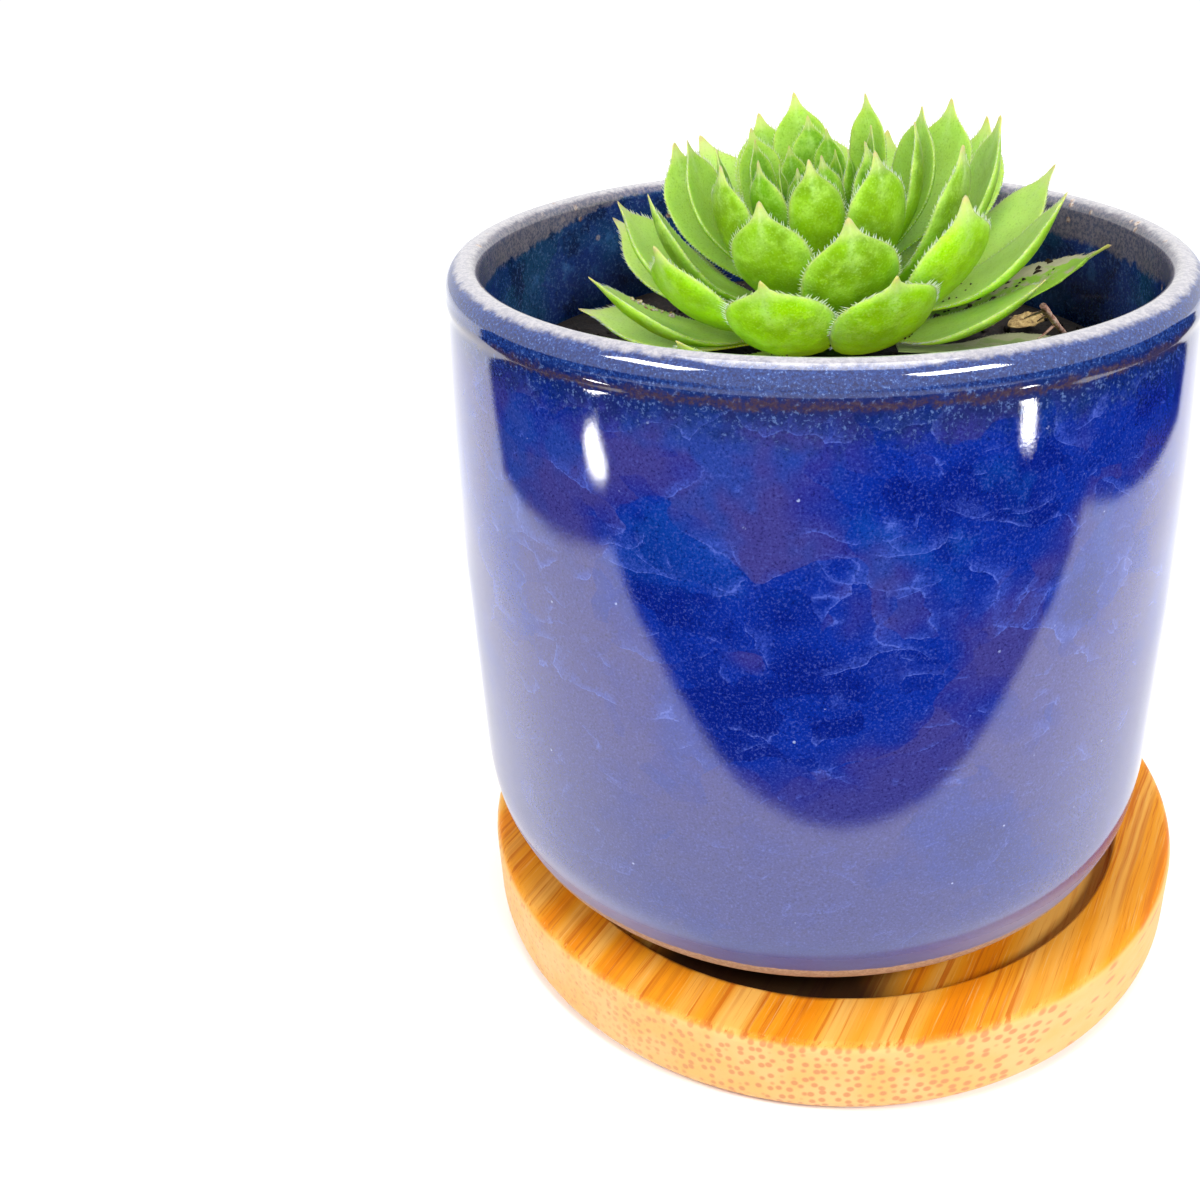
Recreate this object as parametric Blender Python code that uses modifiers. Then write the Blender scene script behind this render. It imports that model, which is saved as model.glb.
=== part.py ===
"""A potted houseleek: a rosette of fleshy leaves in a glazed pot, on a round bamboo saucer.

Everything is in metres with +Z up. The origin is the centre of the saucer's flat underside.
The front is at -Y. Nothing moves: the pot rests in the saucer's recess, and the plant in its soil.
"""

import math

import bmesh
import bpy
from mathutils import Quaternion, Vector

MM = 0.001
TURN_STEPS = 64  # sides of each turned piece
GAP = 0.3 * MM  # clearance between touching pieces
LEAF_ROUGHNESS = 0.5
LEAF_SHADES = ((0.30, 0.62, 0.05), (0.14, 0.42, 0.05))  # the oldest and the youngest leaves

# Saucer
SAUCER_RADIUS = 42.74 * MM
SAUCER_THICKNESS = 10.3 * MM
RECESS_RADIUS = 36.1 * MM
RECESS_DEPTH = 2.3 * MM
SAUCER_BOTTOM_ROUND = 2.6 * MM
SAUCER_TOP_ROUND = 1.1 * MM
RECESS_BEVEL = 0.5 * MM

# Pot, with heights above the underside of its foot
POT_X = -2.43 * MM
POT_Y = 0.59 * MM
POT_Z = SAUCER_THICKNESS - RECESS_DEPTH + GAP
POT_HEIGHT = 72.5 * MM
RIM_RADIUS = 39.0 * MM
RIM_INNER_RADIUS = 35.4 * MM
LIP_OUTER_ROUND = 2.2 * MM
RIDGE_DROP = 2.9 * MM  # the thin ridge below the lip, from the rim's top
RIDGE_PROUD = 0.25 * MM
BODY_RADIUS = 40.2 * MM
BODY_BULGE_TOP = 45.0 * MM  # above here the body draws in towards the rim
CORNER_PROFILE = ((40.2, 15.5), (40.08, 13.2), (39.88, 11.5), (39.55, 9.9), (39.1, 8.6), (38.7, 7.6),
                  (38.3, 6.7), (37.8, 5.9), (37.1, 5.1), (35.2, 3.9), (33.3, 3.0))  # radius, height
FOOT_TOP = 2.1 * MM  # the foot ring stands under the undercut corner
FOOT_RADIUS = 32.6 * MM
FOOT_WIDTH = 4.2 * MM
FOOT_ROUND = 0.4 * MM
UNDERSIDE_Z = 1.4 * MM
FLOOR_Z = 6.4 * MM
FLOOR_CORNER = 5.0 * MM
WALL_INNER_RADIUS = 36.0 * MM
DRAIN_RADIUS = 4.0 * MM

# Soil, with heights below the rim's top
SOIL_WALL_DROP = 13.3 * MM
SOIL_MOUND_DROP = 12.3 * MM
SOIL_MOUND_RADIUS = 5.0 * MM  # flat out to here, then it falls away
SOIL_EDGE_RADIUS = WALL_INNER_RADIUS - 1.2 * MM
SOIL_EDGE_ROUND = 1.0 * MM

# Rosette, in its own leaning frame: radii from its axis, heights from its root
ROSETTE_X = 1.8 * MM  # from the pot's axis
ROSETTE_Y = 2.2 * MM
ROSETTE_DROP = 12.0 * MM  # its root is this far below the rim's top
LEAN = math.radians(10.5)
LEAN_TOWARDS = math.radians(-145)
STEM_RADIUS = 3.1 * MM
STEM_HEIGHT = 10.0 * MM
GOLDEN_ANGLE = math.radians(137.5)
FIRST_AZIMUTH = math.radians(-173.5)
LEAF_COUNT = 50
OLD_LEAF_AGE = 4  # the half dried leaf grew this many leaves before leaf_01

# How the leaves change from the oldest to the youngest: (leaf number, value), in millimetres or degrees
TIP_RADIUS = ((-4, 30.0), (0, 26.6), (4, 26.2), (8, 25.0), (12, 23.2), (16, 20.8), (20, 18.8),
              (24, 15.2), (28, 12.6), (32, 9.8), (40, 5.8), (49, 2.2))
TIP_HEIGHT = ((-4, 7.6), (0, 9.6), (4, 13.8), (8, 16.3), (12, 18.0), (20, 20.8), (28, 23.0),
              (32, 23.7), (40, 22.6), (49, 20.0))
START_SLOPE = ((-4, 6.0), (4, 8.0), (12, 12.0), (20, 20.0), (28, 34.0), (36, 50.0), (49, 74.0))
TIP_SLOPE = ((-4, 20.0), (0, 34.0), (4, 50.0), (8, 60.0), (12, 72.0), (20, 84.0), (28, 92.0),
             (49, 90.0))
HALF_WIDTH = ((-4, 3.8), (0, 4.9), (8, 5.2), (14, 5.2), (20, 4.8), (24, 4.2), (28, 3.3), (34, 2.6),
              (42, 1.9), (49, 1.2))
THICKNESS = ((-4, 0.9), (0, 1.3), (14, 1.5), (24, 1.3), (32, 1.0), (42, 0.7), (49, 0.5))
FIRST_ATTACH_HEIGHT = 1.2 * MM
LAST_ATTACH_HEIGHT = 9.5 * MM
LEAF_BASE_HALF_ANGLE = 0.40
# Leaves that grew a little off the pattern: (further out, higher up, turned by degrees)
ODD_LEAVES = {4: (1.0, 0.0, 0.0), 6: (-1.5, 1.0, -3.0), 9: (1.0, -0.6, 0.0), 10: (0.0, 2.5, 0.0),
              11: (-1.8, -0.6, 0.0), 12: (1.8, 0.0, 0.0), 13: (-2.0, 0.6, 0.0), 14: (0.6, 1.6, 0.0),
              17: (-0.6, 2.0, 0.0), 18: (-0.5, 1.4, 0.0), 19: (-0.6, 0.0, 3.0), 20: (2.4, 0.0, -15.0),
              21: (-1.4, 0.0, 0.0), 22: (0.0, 1.0, 0.0), 23: (0.0, 0.7, 0.0), 24: (0.0, 0.0, 6.0),
              25: (-0.8, 0.4, 5.0), 26: (-1.0, 1.2, 0.0), 27: (0.0, 1.2, 2.0), 28: (0.0, 1.6, 18.0),
              29: (-0.8, 0.6, 8.0), 31: (-0.5, -0.8, -3.0), 32: (0.0, 0.0, 8.0), 33: (0.0, 1.3, 0.0),
              36: (0.0, 0.0, -8.0)}
AS_PATTERN = (0.0, 0.0, 0.0)
LEAF_HANDLE = 0.42  # how far the ends keep their slope, as a share of the straight length

# One leaf from its base to its tip: (share of the length, share of the width, share of the thickness)
LEAF_STATIONS = ((0.0, 0.0, 0.30), (0.14, 0.10, 0.42), (0.32, 0.42, 0.70), (0.50, 0.78, 0.95),
                 (0.67, 1.0, 1.0), (0.79, 0.92, 0.90), (0.865, 0.66, 0.70), (0.92, 0.27, 0.42),
                 (1.0, 0.03, 0.12))
# Around one section: (share of the half width, share of the thickness above the middle surface)
LEAF_SECTION = ((-1.0, -0.04), (-0.6, 0.10), (0.0, 0.14), (0.6, 0.10), (1.0, -0.04),
                (0.6, -0.60), (0.0, -0.86), (-0.6, -0.60))

# Litter on the soil
TWIG_RADIUS = 0.5 * MM
# Places are (x, y, height above the rim's top) in millimetres from the pot's axis
TWIG_POINTS = ((24.3, 1.6, -7.4), (25.5, 3.0, -9.0), (26.8, 4.6, -10.7), (28.2, 6.2, -12.5))
FLAKE_SIZE = (2.6 * MM, 1.6 * MM, 0.6 * MM)
FLAKE_CURL = 0.2
FLAKE_AT = (24.3, 11.2, -12.3)
FLAKE_TURN = (0.1, -0.15, 0.6)  # radians
DEAD_LEAF_AZIMUTH = math.radians(5.0)
DEAD_LEAF_START = (9.0 * MM, -11.9 * MM)
DEAD_LEAF_TIP = (29.0 * MM, -11.2 * MM)
DEAD_LEAF_HALF_WIDTH = 3.4 * MM
DEAD_LEAF_THICKNESS = 0.7 * MM
DEAD_LEAF_SLOPES = (-3.0, 8.0)  # at its base and its tip, in degrees


def clear_scene():
    for obj in list(bpy.data.objects):
        bpy.data.objects.remove(obj, do_unlink=True)


def make_collection(name, hidden=False):
    collection = bpy.data.collections.new(name)
    collection.hide_render = hidden
    bpy.context.scene.collection.children.link(collection)
    return collection


def make_material(name, colour, roughness):
    material = bpy.data.materials.new(name)
    material.use_nodes = True
    shader = material.node_tree.nodes["Principled BSDF"]
    shader.inputs["Base Color"].default_value = (*colour, 1.0)
    shader.inputs["Roughness"].default_value = roughness
    shader.inputs["Metallic"].default_value = 0.0
    material.diffuse_color = (*colour, 1.0)
    return material


def add_object(name, data, collection, material=None, parent=None):
    obj = bpy.data.objects.new(name, data)
    collection.objects.link(obj)
    obj.parent = parent
    if material:
        data.materials.append(material)
    return obj


def between(knots, place):
    """The value at this place on the straight runs between the knots."""
    for (low, first), (high, second) in zip(knots, knots[1:]):
        if place <= high:
            return first + (second - first) * (place - low) / (high - low)
    return knots[-1][1]


def arc(centre, radius, start, end, steps):
    """Points of an arc in a profile, with angles in degrees from the outward direction."""
    points = []
    for i in range(steps + 1):
        angle = math.radians(start + (end - start) * i / steps)
        points.append((centre[0] + radius * math.cos(angle), centre[1] + radius * math.sin(angle)))
    return points


def turned(name, profile, closed, collection, material, steps=TURN_STEPS):
    """A turned piece from a profile of (radius, height) points that run down its outer side."""
    mesh = bpy.data.meshes.new(name)
    edges = [(i, i + 1) for i in range(len(profile) - 1)]
    if closed:
        edges.append((len(profile) - 1, 0))
    mesh.from_pydata([(radius, 0.0, height) for radius, height in profile], edges, [])
    obj = add_object(name, mesh, collection, material)
    screw = obj.modifiers.new("Turn", "SCREW")
    screw.steps = steps
    screw.render_steps = steps
    screw.use_merge_vertices = True
    screw.merge_threshold = 0.00001
    return obj


def smooth_round(obj, angle=40):
    """Applies the turning and shades the piece smooth, except at its corners."""
    bpy.context.view_layer.objects.active = obj
    obj.select_set(True)
    for modifier in list(obj.modifiers):
        bpy.ops.object.modifier_apply(modifier=modifier.name)
    obj.data.shade_smooth()
    obj.data.set_sharp_from_angle(angle=math.radians(angle))
    obj.select_set(False)


def build_saucer(collection):
    bamboo = make_material("bamboo", (0.78, 0.42, 0.12), 0.45)
    floor = SAUCER_THICKNESS - RECESS_DEPTH
    bevel = RECESS_BEVEL
    bottom, top = SAUCER_BOTTOM_ROUND, SAUCER_TOP_ROUND
    profile = [(0.0, floor), (RECESS_RADIUS - bevel, floor), (RECESS_RADIUS, floor + bevel),
               (RECESS_RADIUS, SAUCER_THICKNESS - bevel),
               (RECESS_RADIUS + bevel, SAUCER_THICKNESS)]
    profile += arc((SAUCER_RADIUS - top, SAUCER_THICKNESS - top), top, 90, 0, 3)
    profile += arc((SAUCER_RADIUS - bottom, bottom), bottom, 0, -90, 5)
    profile.append((0.0, 0.0))
    saucer = turned("saucer", profile, False, collection, bamboo)
    smooth_round(saucer)
    return saucer


def body_radius(height):
    """The pot's outer radius between its lower corner and the ridge under its lip."""
    top = POT_HEIGHT - RIDGE_DROP
    if height <= BODY_BULGE_TOP:
        return BODY_RADIUS
    share = (height - BODY_BULGE_TOP) / (top - BODY_BULGE_TOP)
    return BODY_RADIUS - (BODY_RADIUS - RIM_RADIUS) * share ** 1.5


def build_pot(collection):
    glaze = make_material("cobalt_glaze", (0.03, 0.06, 0.32), 0.08)
    outer = LIP_OUTER_ROUND
    inner = RIM_RADIUS - RIM_INNER_RADIUS - outer
    ridge = POT_HEIGHT - RIDGE_DROP
    profile = arc((RIM_RADIUS - outer, POT_HEIGHT - outer), outer, 90, 0, 4)
    profile.append((RIM_RADIUS + RIDGE_PROUD, ridge))
    for share in (0.06, 0.3, 0.6, 1.0):
        height = ridge + (BODY_BULGE_TOP - ridge) * share
        profile.append((body_radius(height), height))
    profile += [(radius * MM, height * MM) for radius, height in CORNER_PROFILE]
    profile += [(FOOT_RADIUS, FOOT_TOP), (FOOT_RADIUS, FOOT_ROUND), (FOOT_RADIUS - FOOT_ROUND, 0.0),
                (FOOT_RADIUS - FOOT_WIDTH, 0.0), (FOOT_RADIUS - FOOT_WIDTH - FOOT_ROUND, UNDERSIDE_Z),
                (DRAIN_RADIUS, UNDERSIDE_Z), (DRAIN_RADIUS, FLOOR_Z)]
    profile += arc((WALL_INNER_RADIUS - FLOOR_CORNER, FLOOR_Z + FLOOR_CORNER), FLOOR_CORNER, -90, 0, 3)
    profile.append((WALL_INNER_RADIUS, BODY_BULGE_TOP))
    profile += arc((RIM_INNER_RADIUS + inner, POT_HEIGHT - inner), inner, 180, 112, 3)
    pot = turned("pot", profile, True, collection, glaze)
    pot.location = (POT_X, POT_Y, POT_Z)
    smooth_round(pot)
    return pot


def build_soil(collection, cutters, rosette):
    """The soil fills the pot to a low mound, with a socket for the stem's rounded foot."""
    earth = make_material("soil", (0.035, 0.024, 0.018), 0.95)
    wall = SOIL_EDGE_RADIUS
    bottom = FLOOR_Z + GAP
    corner = FLOOR_CORNER
    surface = POT_HEIGHT - SOIL_WALL_DROP
    rise = SOIL_WALL_DROP - SOIL_MOUND_DROP
    profile = [(0.0, surface + rise)]
    for share in (0.0, 0.2, 0.4, 0.6, 0.8):
        radius = SOIL_MOUND_RADIUS + (wall - SOIL_MOUND_RADIUS) * share
        profile.append((radius, surface + rise * (1 - share) ** 2))
    profile += [(wall - SOIL_EDGE_ROUND, surface), (wall, surface - SOIL_EDGE_ROUND)]
    profile += arc((wall - corner, bottom + corner), corner, 0, -90, 3)
    profile.append((0.0, bottom))
    soil = turned("soil", profile, False, collection, earth, steps=48)
    soil.location = (POT_X, POT_Y, POT_Z)
    socket = bpy.data.meshes.new("stem_socket")
    ball = bmesh.new()
    bmesh.ops.create_uvsphere(ball, u_segments=16, v_segments=10, radius=STEM_RADIUS + GAP)
    ball.to_mesh(socket)
    ball.free()
    cutter = add_object("stem_socket", socket, cutters)
    cutter.location = rosette.location
    cutter.hide_render = True
    cutter.display_type = "WIRE"
    cut = soil.modifiers.new("Socket", "BOOLEAN")
    cut.operation = "DIFFERENCE"
    cut.solver = "EXACT"
    cut.object = cutter
    smooth_round(soil)
    return soil


def stem_radius(height):
    return STEM_RADIUS * math.sqrt(max(0.0, 1 - (height / STEM_HEIGHT) ** 2))


def build_stem(collection, rosette):
    """The short stem in the rosette's heart: round below, and drawn out to a blunt top."""
    pith = make_material("stem", (0.45, 0.42, 0.20), 0.6)
    profile = []
    for share in (1.0, 0.93, 0.8, 0.6, 0.4, 0.2):
        profile.append((stem_radius(share * STEM_HEIGHT), share * STEM_HEIGHT))
    profile += arc((0.0, 0.0), STEM_RADIUS, 0, -90, 4)
    profile[0] = (0.0, STEM_HEIGHT)
    profile[-1] = (0.0, -STEM_RADIUS)
    stem = turned("stem", profile, False, collection, pith, steps=16)
    stem.parent = rosette
    smooth_round(stem)
    return stem


def leaf_curve(start, tip, start_slope, tip_slope):
    """The four handles of a leaf's middle line, as (radius, height) with slopes in degrees."""
    reach = (tip - start).length * LEAF_HANDLE
    first, last = math.radians(start_slope), math.radians(tip_slope)
    leave = start + reach * Vector((math.cos(first), math.sin(first)))
    arrive = tip - reach * Vector((math.cos(last), math.sin(last)))
    return start, leave, arrive, tip


def along_curve(handles, share):
    """The place and direction at this share of a curve with four handles."""
    points = list(handles)
    while len(points) > 2:
        points = [a.lerp(b, share) for a, b in zip(points, points[1:])]
    return points[0].lerp(points[1], share), (points[1] - points[0]).normalized()


def leaf_mesh(name, handles, base_half_width, half_width, thickness):
    """A leaf that grows outwards along +X, lofted through lens sections along its middle line.

    Its sections bend round the rosette's axis, so that each leaf lies in the cup of the older ones.
    """
    verts = []
    for along, wide, thick in LEAF_STATIONS:
        place, run = along_curve(handles, along)
        up = Vector((-run.y, run.x))
        width = base_half_width + (half_width - base_half_width) * wide
        if along == 1.0:
            width = half_width * wide
        for across, above in LEAF_SECTION:
            point = place + up * (above * thick * thickness)
            turn = across * width / place.x
            verts.append((point.x * math.cos(turn), point.x * math.sin(turn), point.y))
    ring = len(LEAF_SECTION)
    faces = [tuple(range(ring)), tuple(reversed(range(len(verts) - ring, len(verts))))]
    for i in range(len(LEAF_STATIONS) - 1):
        for j in range(ring):
            a, b = i * ring + j, i * ring + (j + 1) % ring
            faces.append((a, a + ring, b + ring, b))
    mesh = bpy.data.meshes.new(name)
    mesh.from_pydata(verts, [], faces)
    mesh.shade_smooth()
    mesh.set_sharp_from_angle(angle=math.radians(60))
    return mesh


def rosette_leaf_mesh(name, number):
    age = (number + OLD_LEAF_AGE) / (LEAF_COUNT - 1 + OLD_LEAF_AGE)
    height = FIRST_ATTACH_HEIGHT + (LAST_ATTACH_HEIGHT - FIRST_ATTACH_HEIGHT) * age
    start = Vector((stem_radius(height) + GAP, height))
    tip = Vector((between(TIP_RADIUS, number), between(TIP_HEIGHT, number))) * MM
    further, higher, _ = ODD_LEAVES.get(number, AS_PATTERN)
    tip += Vector((further, higher)) * MM
    handles = leaf_curve(start, tip, between(START_SLOPE, number), between(TIP_SLOPE, number))
    half_width = between(HALF_WIDTH, number) * MM
    thickness = between(THICKNESS, number) * MM
    return leaf_mesh(name, handles, LEAF_BASE_HALF_ANGLE * start.x, half_width, thickness)


def build_leaves(collection, rosette):
    numbers = {"old_leaf": -OLD_LEAF_AGE}
    numbers.update({f"leaf_{i + 1:02d}": i for i in range(LEAF_COUNT)})
    for name, number in numbers.items():
        youth = max(0, number) / (LEAF_COUNT - 1)
        green = Vector(LEAF_SHADES[0]).lerp(Vector(LEAF_SHADES[1]), youth)
        material = make_material(name, green, LEAF_ROUGHNESS)
        leaf = add_object(name, rosette_leaf_mesh(name, number), collection, material, rosette)
        turn = math.radians(ODD_LEAVES.get(number, AS_PATTERN)[2])
        leaf.rotation_euler = (0.0, 0.0, FIRST_AZIMUTH + number * GOLDEN_ANGLE + turn)


def build_dead_leaf(collection):
    """A withered leaf that lies on the soil under the old one."""
    dead = make_material("dead_leaf", (0.52, 0.56, 0.30), 0.7)
    start, tip = Vector(DEAD_LEAF_START), Vector(DEAD_LEAF_TIP)
    handles = leaf_curve(start, tip, *DEAD_LEAF_SLOPES)
    mesh = leaf_mesh("dead_leaf", handles, DEAD_LEAF_HALF_WIDTH * 0.3, DEAD_LEAF_HALF_WIDTH,
                     DEAD_LEAF_THICKNESS)
    leaf = add_object("dead_leaf", mesh, collection, dead)
    leaf.location = from_pot_axis(0.0, 0.0, 0.0)
    leaf.rotation_euler = (0.0, 0.0, DEAD_LEAF_AZIMUTH)


def from_pot_axis(x, y, below_rim):
    """A place in millimetres from the pot's axis and its rim's top, in the scene."""
    return Vector((POT_X + x * MM, POT_Y + y * MM, POT_Z + POT_HEIGHT + below_rim * MM))


def build_twig(collection):
    bark = make_material("twig", (0.62, 0.40, 0.22), 0.8)
    curve = bpy.data.curves.new("twig", "CURVE")
    curve.dimensions = "3D"
    curve.bevel_depth = TWIG_RADIUS
    curve.bevel_resolution = 2
    curve.use_fill_caps = True
    spline = curve.splines.new("POLY")
    spline.points.add(len(TWIG_POINTS) - 1)
    for point, place in zip(spline.points, TWIG_POINTS):
        point.co = (*from_pot_axis(*place), 1.0)
    return add_object("twig", curve, collection, bark)


def build_flake(collection):
    """A curled flake of dead leaf on the soil."""
    dead = make_material("dry_flake", (0.50, 0.38, 0.18), 0.85)
    mesh = bpy.data.meshes.new("dry_flake")
    shape = bmesh.new()
    bmesh.ops.create_uvsphere(shape, u_segments=10, v_segments=6, radius=1.0)
    for vert in shape.verts:
        vert.co = Vector(size * part for size, part in zip(FLAKE_SIZE, vert.co))
        vert.co.z += FLAKE_CURL * vert.co.x ** 2 / FLAKE_SIZE[0]
    shape.to_mesh(mesh)
    shape.free()
    flake = add_object("dry_flake", mesh, collection, dead)
    flake.location = from_pot_axis(*FLAKE_AT)
    flake.rotation_euler = FLAKE_TURN


def main():
    clear_scene()
    collection = make_collection("potted_houseleek")
    cutters = make_collection("cutters", hidden=True)
    rosette = add_object("rosette", None, collection)
    rosette.location = from_pot_axis(ROSETTE_X / MM, ROSETTE_Y / MM, -ROSETTE_DROP / MM)
    lean_axis = Vector((-math.sin(LEAN_TOWARDS), math.cos(LEAN_TOWARDS), 0.0))
    rosette.rotation_mode = "QUATERNION"
    rosette.rotation_quaternion = Quaternion(lean_axis, LEAN)
    build_saucer(collection)
    build_pot(collection)
    build_soil(collection, cutters, rosette)
    build_stem(collection, rosette)
    build_leaves(collection, rosette)
    build_dead_leaf(collection)
    build_twig(collection)
    build_flake(collection)
    bpy.context.view_layer.update()


main()
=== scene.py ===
# %% [markdown]
# # A potted houseleek
# A houseleek is a low rosette of fleshy leaves. This one grows in a small glazed pot that stands
# on a round bamboo saucer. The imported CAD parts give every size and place. Each step below makes
# one piece or one finish, and says what the real thing is, how it could be made, and why it is
# made this way here.

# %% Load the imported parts
import functools
import math
import random

import bpy
import numpy as np
from mathutils import Matrix, Quaternion, Vector


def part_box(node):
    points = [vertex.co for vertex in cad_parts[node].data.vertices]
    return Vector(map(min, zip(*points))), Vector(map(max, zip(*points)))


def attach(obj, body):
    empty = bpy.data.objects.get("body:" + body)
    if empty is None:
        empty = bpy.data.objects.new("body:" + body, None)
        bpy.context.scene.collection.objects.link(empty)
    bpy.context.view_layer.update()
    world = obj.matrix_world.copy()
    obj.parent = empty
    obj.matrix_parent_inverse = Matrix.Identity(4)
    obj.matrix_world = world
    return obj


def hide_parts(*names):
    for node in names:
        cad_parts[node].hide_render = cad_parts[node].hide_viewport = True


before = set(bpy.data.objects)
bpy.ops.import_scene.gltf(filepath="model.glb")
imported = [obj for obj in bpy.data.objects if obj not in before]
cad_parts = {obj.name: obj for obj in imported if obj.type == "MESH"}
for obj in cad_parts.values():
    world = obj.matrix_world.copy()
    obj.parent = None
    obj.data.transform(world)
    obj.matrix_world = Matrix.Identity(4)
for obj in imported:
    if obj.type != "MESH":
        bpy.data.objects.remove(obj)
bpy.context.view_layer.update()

MM = 0.001

# %% [markdown]
# ## The camera
# The camera stands close and looks down at a little under 30 degrees, so the rim opens into an
# ellipse and the pot narrows towards its foot. The lens axis is moved a little off the middle
# of the picture by the camera's shift, which is what cropping a wider picture does.

# %% Camera
CAMERA_AT = (-2.43 * MM, -130.96 * MM, 114.21 * MM)
CAMERA_TURN = (62.79, 1.11, 4.41)  # degrees
CAMERA_LENS = 37.47
CAMERA_SHIFT = (-0.0966, -0.0588)
NEAREST_SEEN = 5 * MM


def deselect():
    if bpy.context.mode != "OBJECT":
        bpy.ops.object.mode_set(mode="OBJECT")
    bpy.ops.object.select_all(action="DESELECT")


def new_object(name, data):
    made = bpy.data.objects.new(name, data)
    bpy.context.scene.collection.objects.link(made)
    return made


def select(*pieces):
    """Selects these pieces alone, and makes the last of them active."""
    deselect()
    for piece in pieces:
        piece.select_set(True)
    bpy.context.view_layer.objects.active = pieces[-1]


deselect()
bpy.ops.object.camera_add(location=CAMERA_AT, rotation=[math.radians(a) for a in CAMERA_TURN])
camera = bpy.context.object
camera.name = "camera"
camera.data.lens = CAMERA_LENS
camera.data.shift_x, camera.data.shift_y = CAMERA_SHIFT
camera.data.clip_start = NEAREST_SEEN
bpy.context.scene.camera = camera
bpy.context.scene.view_settings.view_transform = "Standard"
print("camera at", [round(v / MM) for v in camera.location], "mm")

# %% [markdown]
# ## Mixing finishes
# Every finish here is a small graph of nodes that reads the piece's own coordinates or an
# attribute stored in its mesh. The helper below keeps such a graph short: a value that comes
# from another node is linked, and a plain number is typed into the socket. Sizes and places are
# in millimetres. Most finishes are a ground colour under thin layers, which one call lays.


# %% A helper for node graphs
class Finish:
    """A material with one Principled shader, and short names for the nodes that feed it."""

    def __init__(self, name, **sockets):
        self.material = bpy.data.materials.new(name)
        self.material.use_nodes = True
        self.tree = self.material.node_tree
        self.shader = self.tree.nodes["Principled BSDF"]
        self.set(**sockets)

    def set(self, **sockets):
        self.feed(self.shader, {key.replace("_", " "): value for key, value in sockets.items()})
        return self.material

    def feed(self, node, sockets):
        for key, value in sockets.items():
            if isinstance(value, bpy.types.NodeSocket):
                self.tree.links.new(value, node.inputs[key])
            else:
                node.inputs[key].default_value = value

    def node(self, kind, sockets, **settings):
        made = self.tree.nodes.new("ShaderNode" + kind)
        for key, value in settings.items():
            setattr(made, key, value)
        self.feed(made, sockets)
        return made

    def out(self, kind, sockets, output=0, **settings):
        return self.node(kind, sockets, **settings).outputs[output]

    def place(self, turn=0, stretch=(1, 1, 1), centre=(0, 0, 0)):
        """Object coordinates in millimetres about a centre, turned round Z and then stretched."""
        at = self.out("TexCoord", {}, "Object")
        at = self.out("Mapping", {"Vector": at, "Location": [-c for c in centre]})
        at = self.out("Mapping", {"Vector": at, "Rotation": (0, 0, -turn)})
        return self.out("Mapping", {"Vector": at, "Scale": [s / MM for s in stretch]})

    def parts(self, vector):
        return self.node("SeparateXYZ", {"Vector": vector}).outputs

    def polar(self, vector):
        """How far from the Z axis a place lies, and in which direction."""
        x, y, _ = self.parts(vector)
        reach = self.math("SQRT", self.add(self.times(x, x), self.times(y, y)))
        return reach, self.math("ARCTAN2", y, x)

    def attribute(self, name):
        return self.out("Attribute", {}, "Fac", attribute_name=name)

    def noise(self, vector, size, detail=2, rough=0.5, output="Fac"):
        sockets = {"Vector": vector, "Scale": 1 / size, "Detail": detail, "Roughness": rough}
        return self.out("TexNoise", sockets, output)

    def cells(self, vector, size, output="Distance", feature="F1", randomness=1):
        """Cells about this far apart. Distances come out as shares of the size."""
        sockets = {"Vector": vector, "Scale": 1 / size, "Randomness": randomness}
        return self.out("TexVoronoi", sockets, output, feature=feature)

    def wander(self, vector, size, reach):
        """The vector pushed about by a noise, by up to about half the reach."""
        push = self.noise(vector, size, output="Color")
        push = self.out("VectorMath", {0: push, 1: (0.5, 0.5, 0.5)}, operation="SUBTRACT")
        push = self.out("VectorMath", {0: push, "Scale": reach}, operation="SCALE")
        return self.out("VectorMath", {0: vector, 1: push}, operation="ADD")

    def math(self, operation, first, second=0):
        return self.out("Math", {0: first, 1: second}, operation=operation)

    def add(self, *values):
        return functools.reduce(functools.partial(self.math, "ADD"), values)

    def times(self, *values):
        return functools.reduce(functools.partial(self.math, "MULTIPLY"), values)

    def apart(self, value, middle):
        return self.math("ABSOLUTE", self.math("SUBTRACT", value, middle))

    def rise(self, value, start, end, top=1, bottom=0):
        """Goes smoothly from bottom to top while the value goes from start to end."""
        sockets = {"Value": value, "From Min": start, "From Max": end, "To Min": bottom, "To Max": top}
        return self.out("MapRange", sockets, interpolation_type="SMOOTHSTEP")

    def mix(self, share, first, second):
        made = self.node("Mix", {0: share}, data_type="RGBA")
        for index, value in ((6, first), (7, second)):
            self.feed(made, {index: (*value, 1) if isinstance(value, tuple) else value})
        return made.outputs[2]

    def vary(self, value, start, end, first, second):
        """From the first colour to the second while the value goes from start to end."""
        return self.mix(self.rise(value, start, end), first, second)

    def layers(self, colour, *layers):
        """Tints laid over a colour. Each layer is a tint and shares that multiply.

        A share is a value, or a tuple that says how it rises: value, start, end, top, bottom.
        """
        for tint, *shares in layers:
            shares = [self.rise(*share) if isinstance(share, tuple) else share for share in shares]
            colour = self.mix(self.times(*shares), colour, tint)
        return colour

    def ramp(self, value, *stops):
        """A colour ramp through (place, colour) stops."""
        made = self.node("ValToRGB", {"Fac": value})
        elements = made.color_ramp.elements
        while len(elements) < len(stops):
            elements.new(0.5)
        for element, (place, colour) in zip(elements, stops):
            element.position = place
            element.color = (*colour, 1)
        return made.outputs["Color"]

    def bump(self, height, depth, strength=1, under=None):
        sockets = {"Height": height, "Distance": depth * MM, "Strength": strength}
        if under:
            sockets["Normal"] = under
        return self.out("Bump", sockets)


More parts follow.
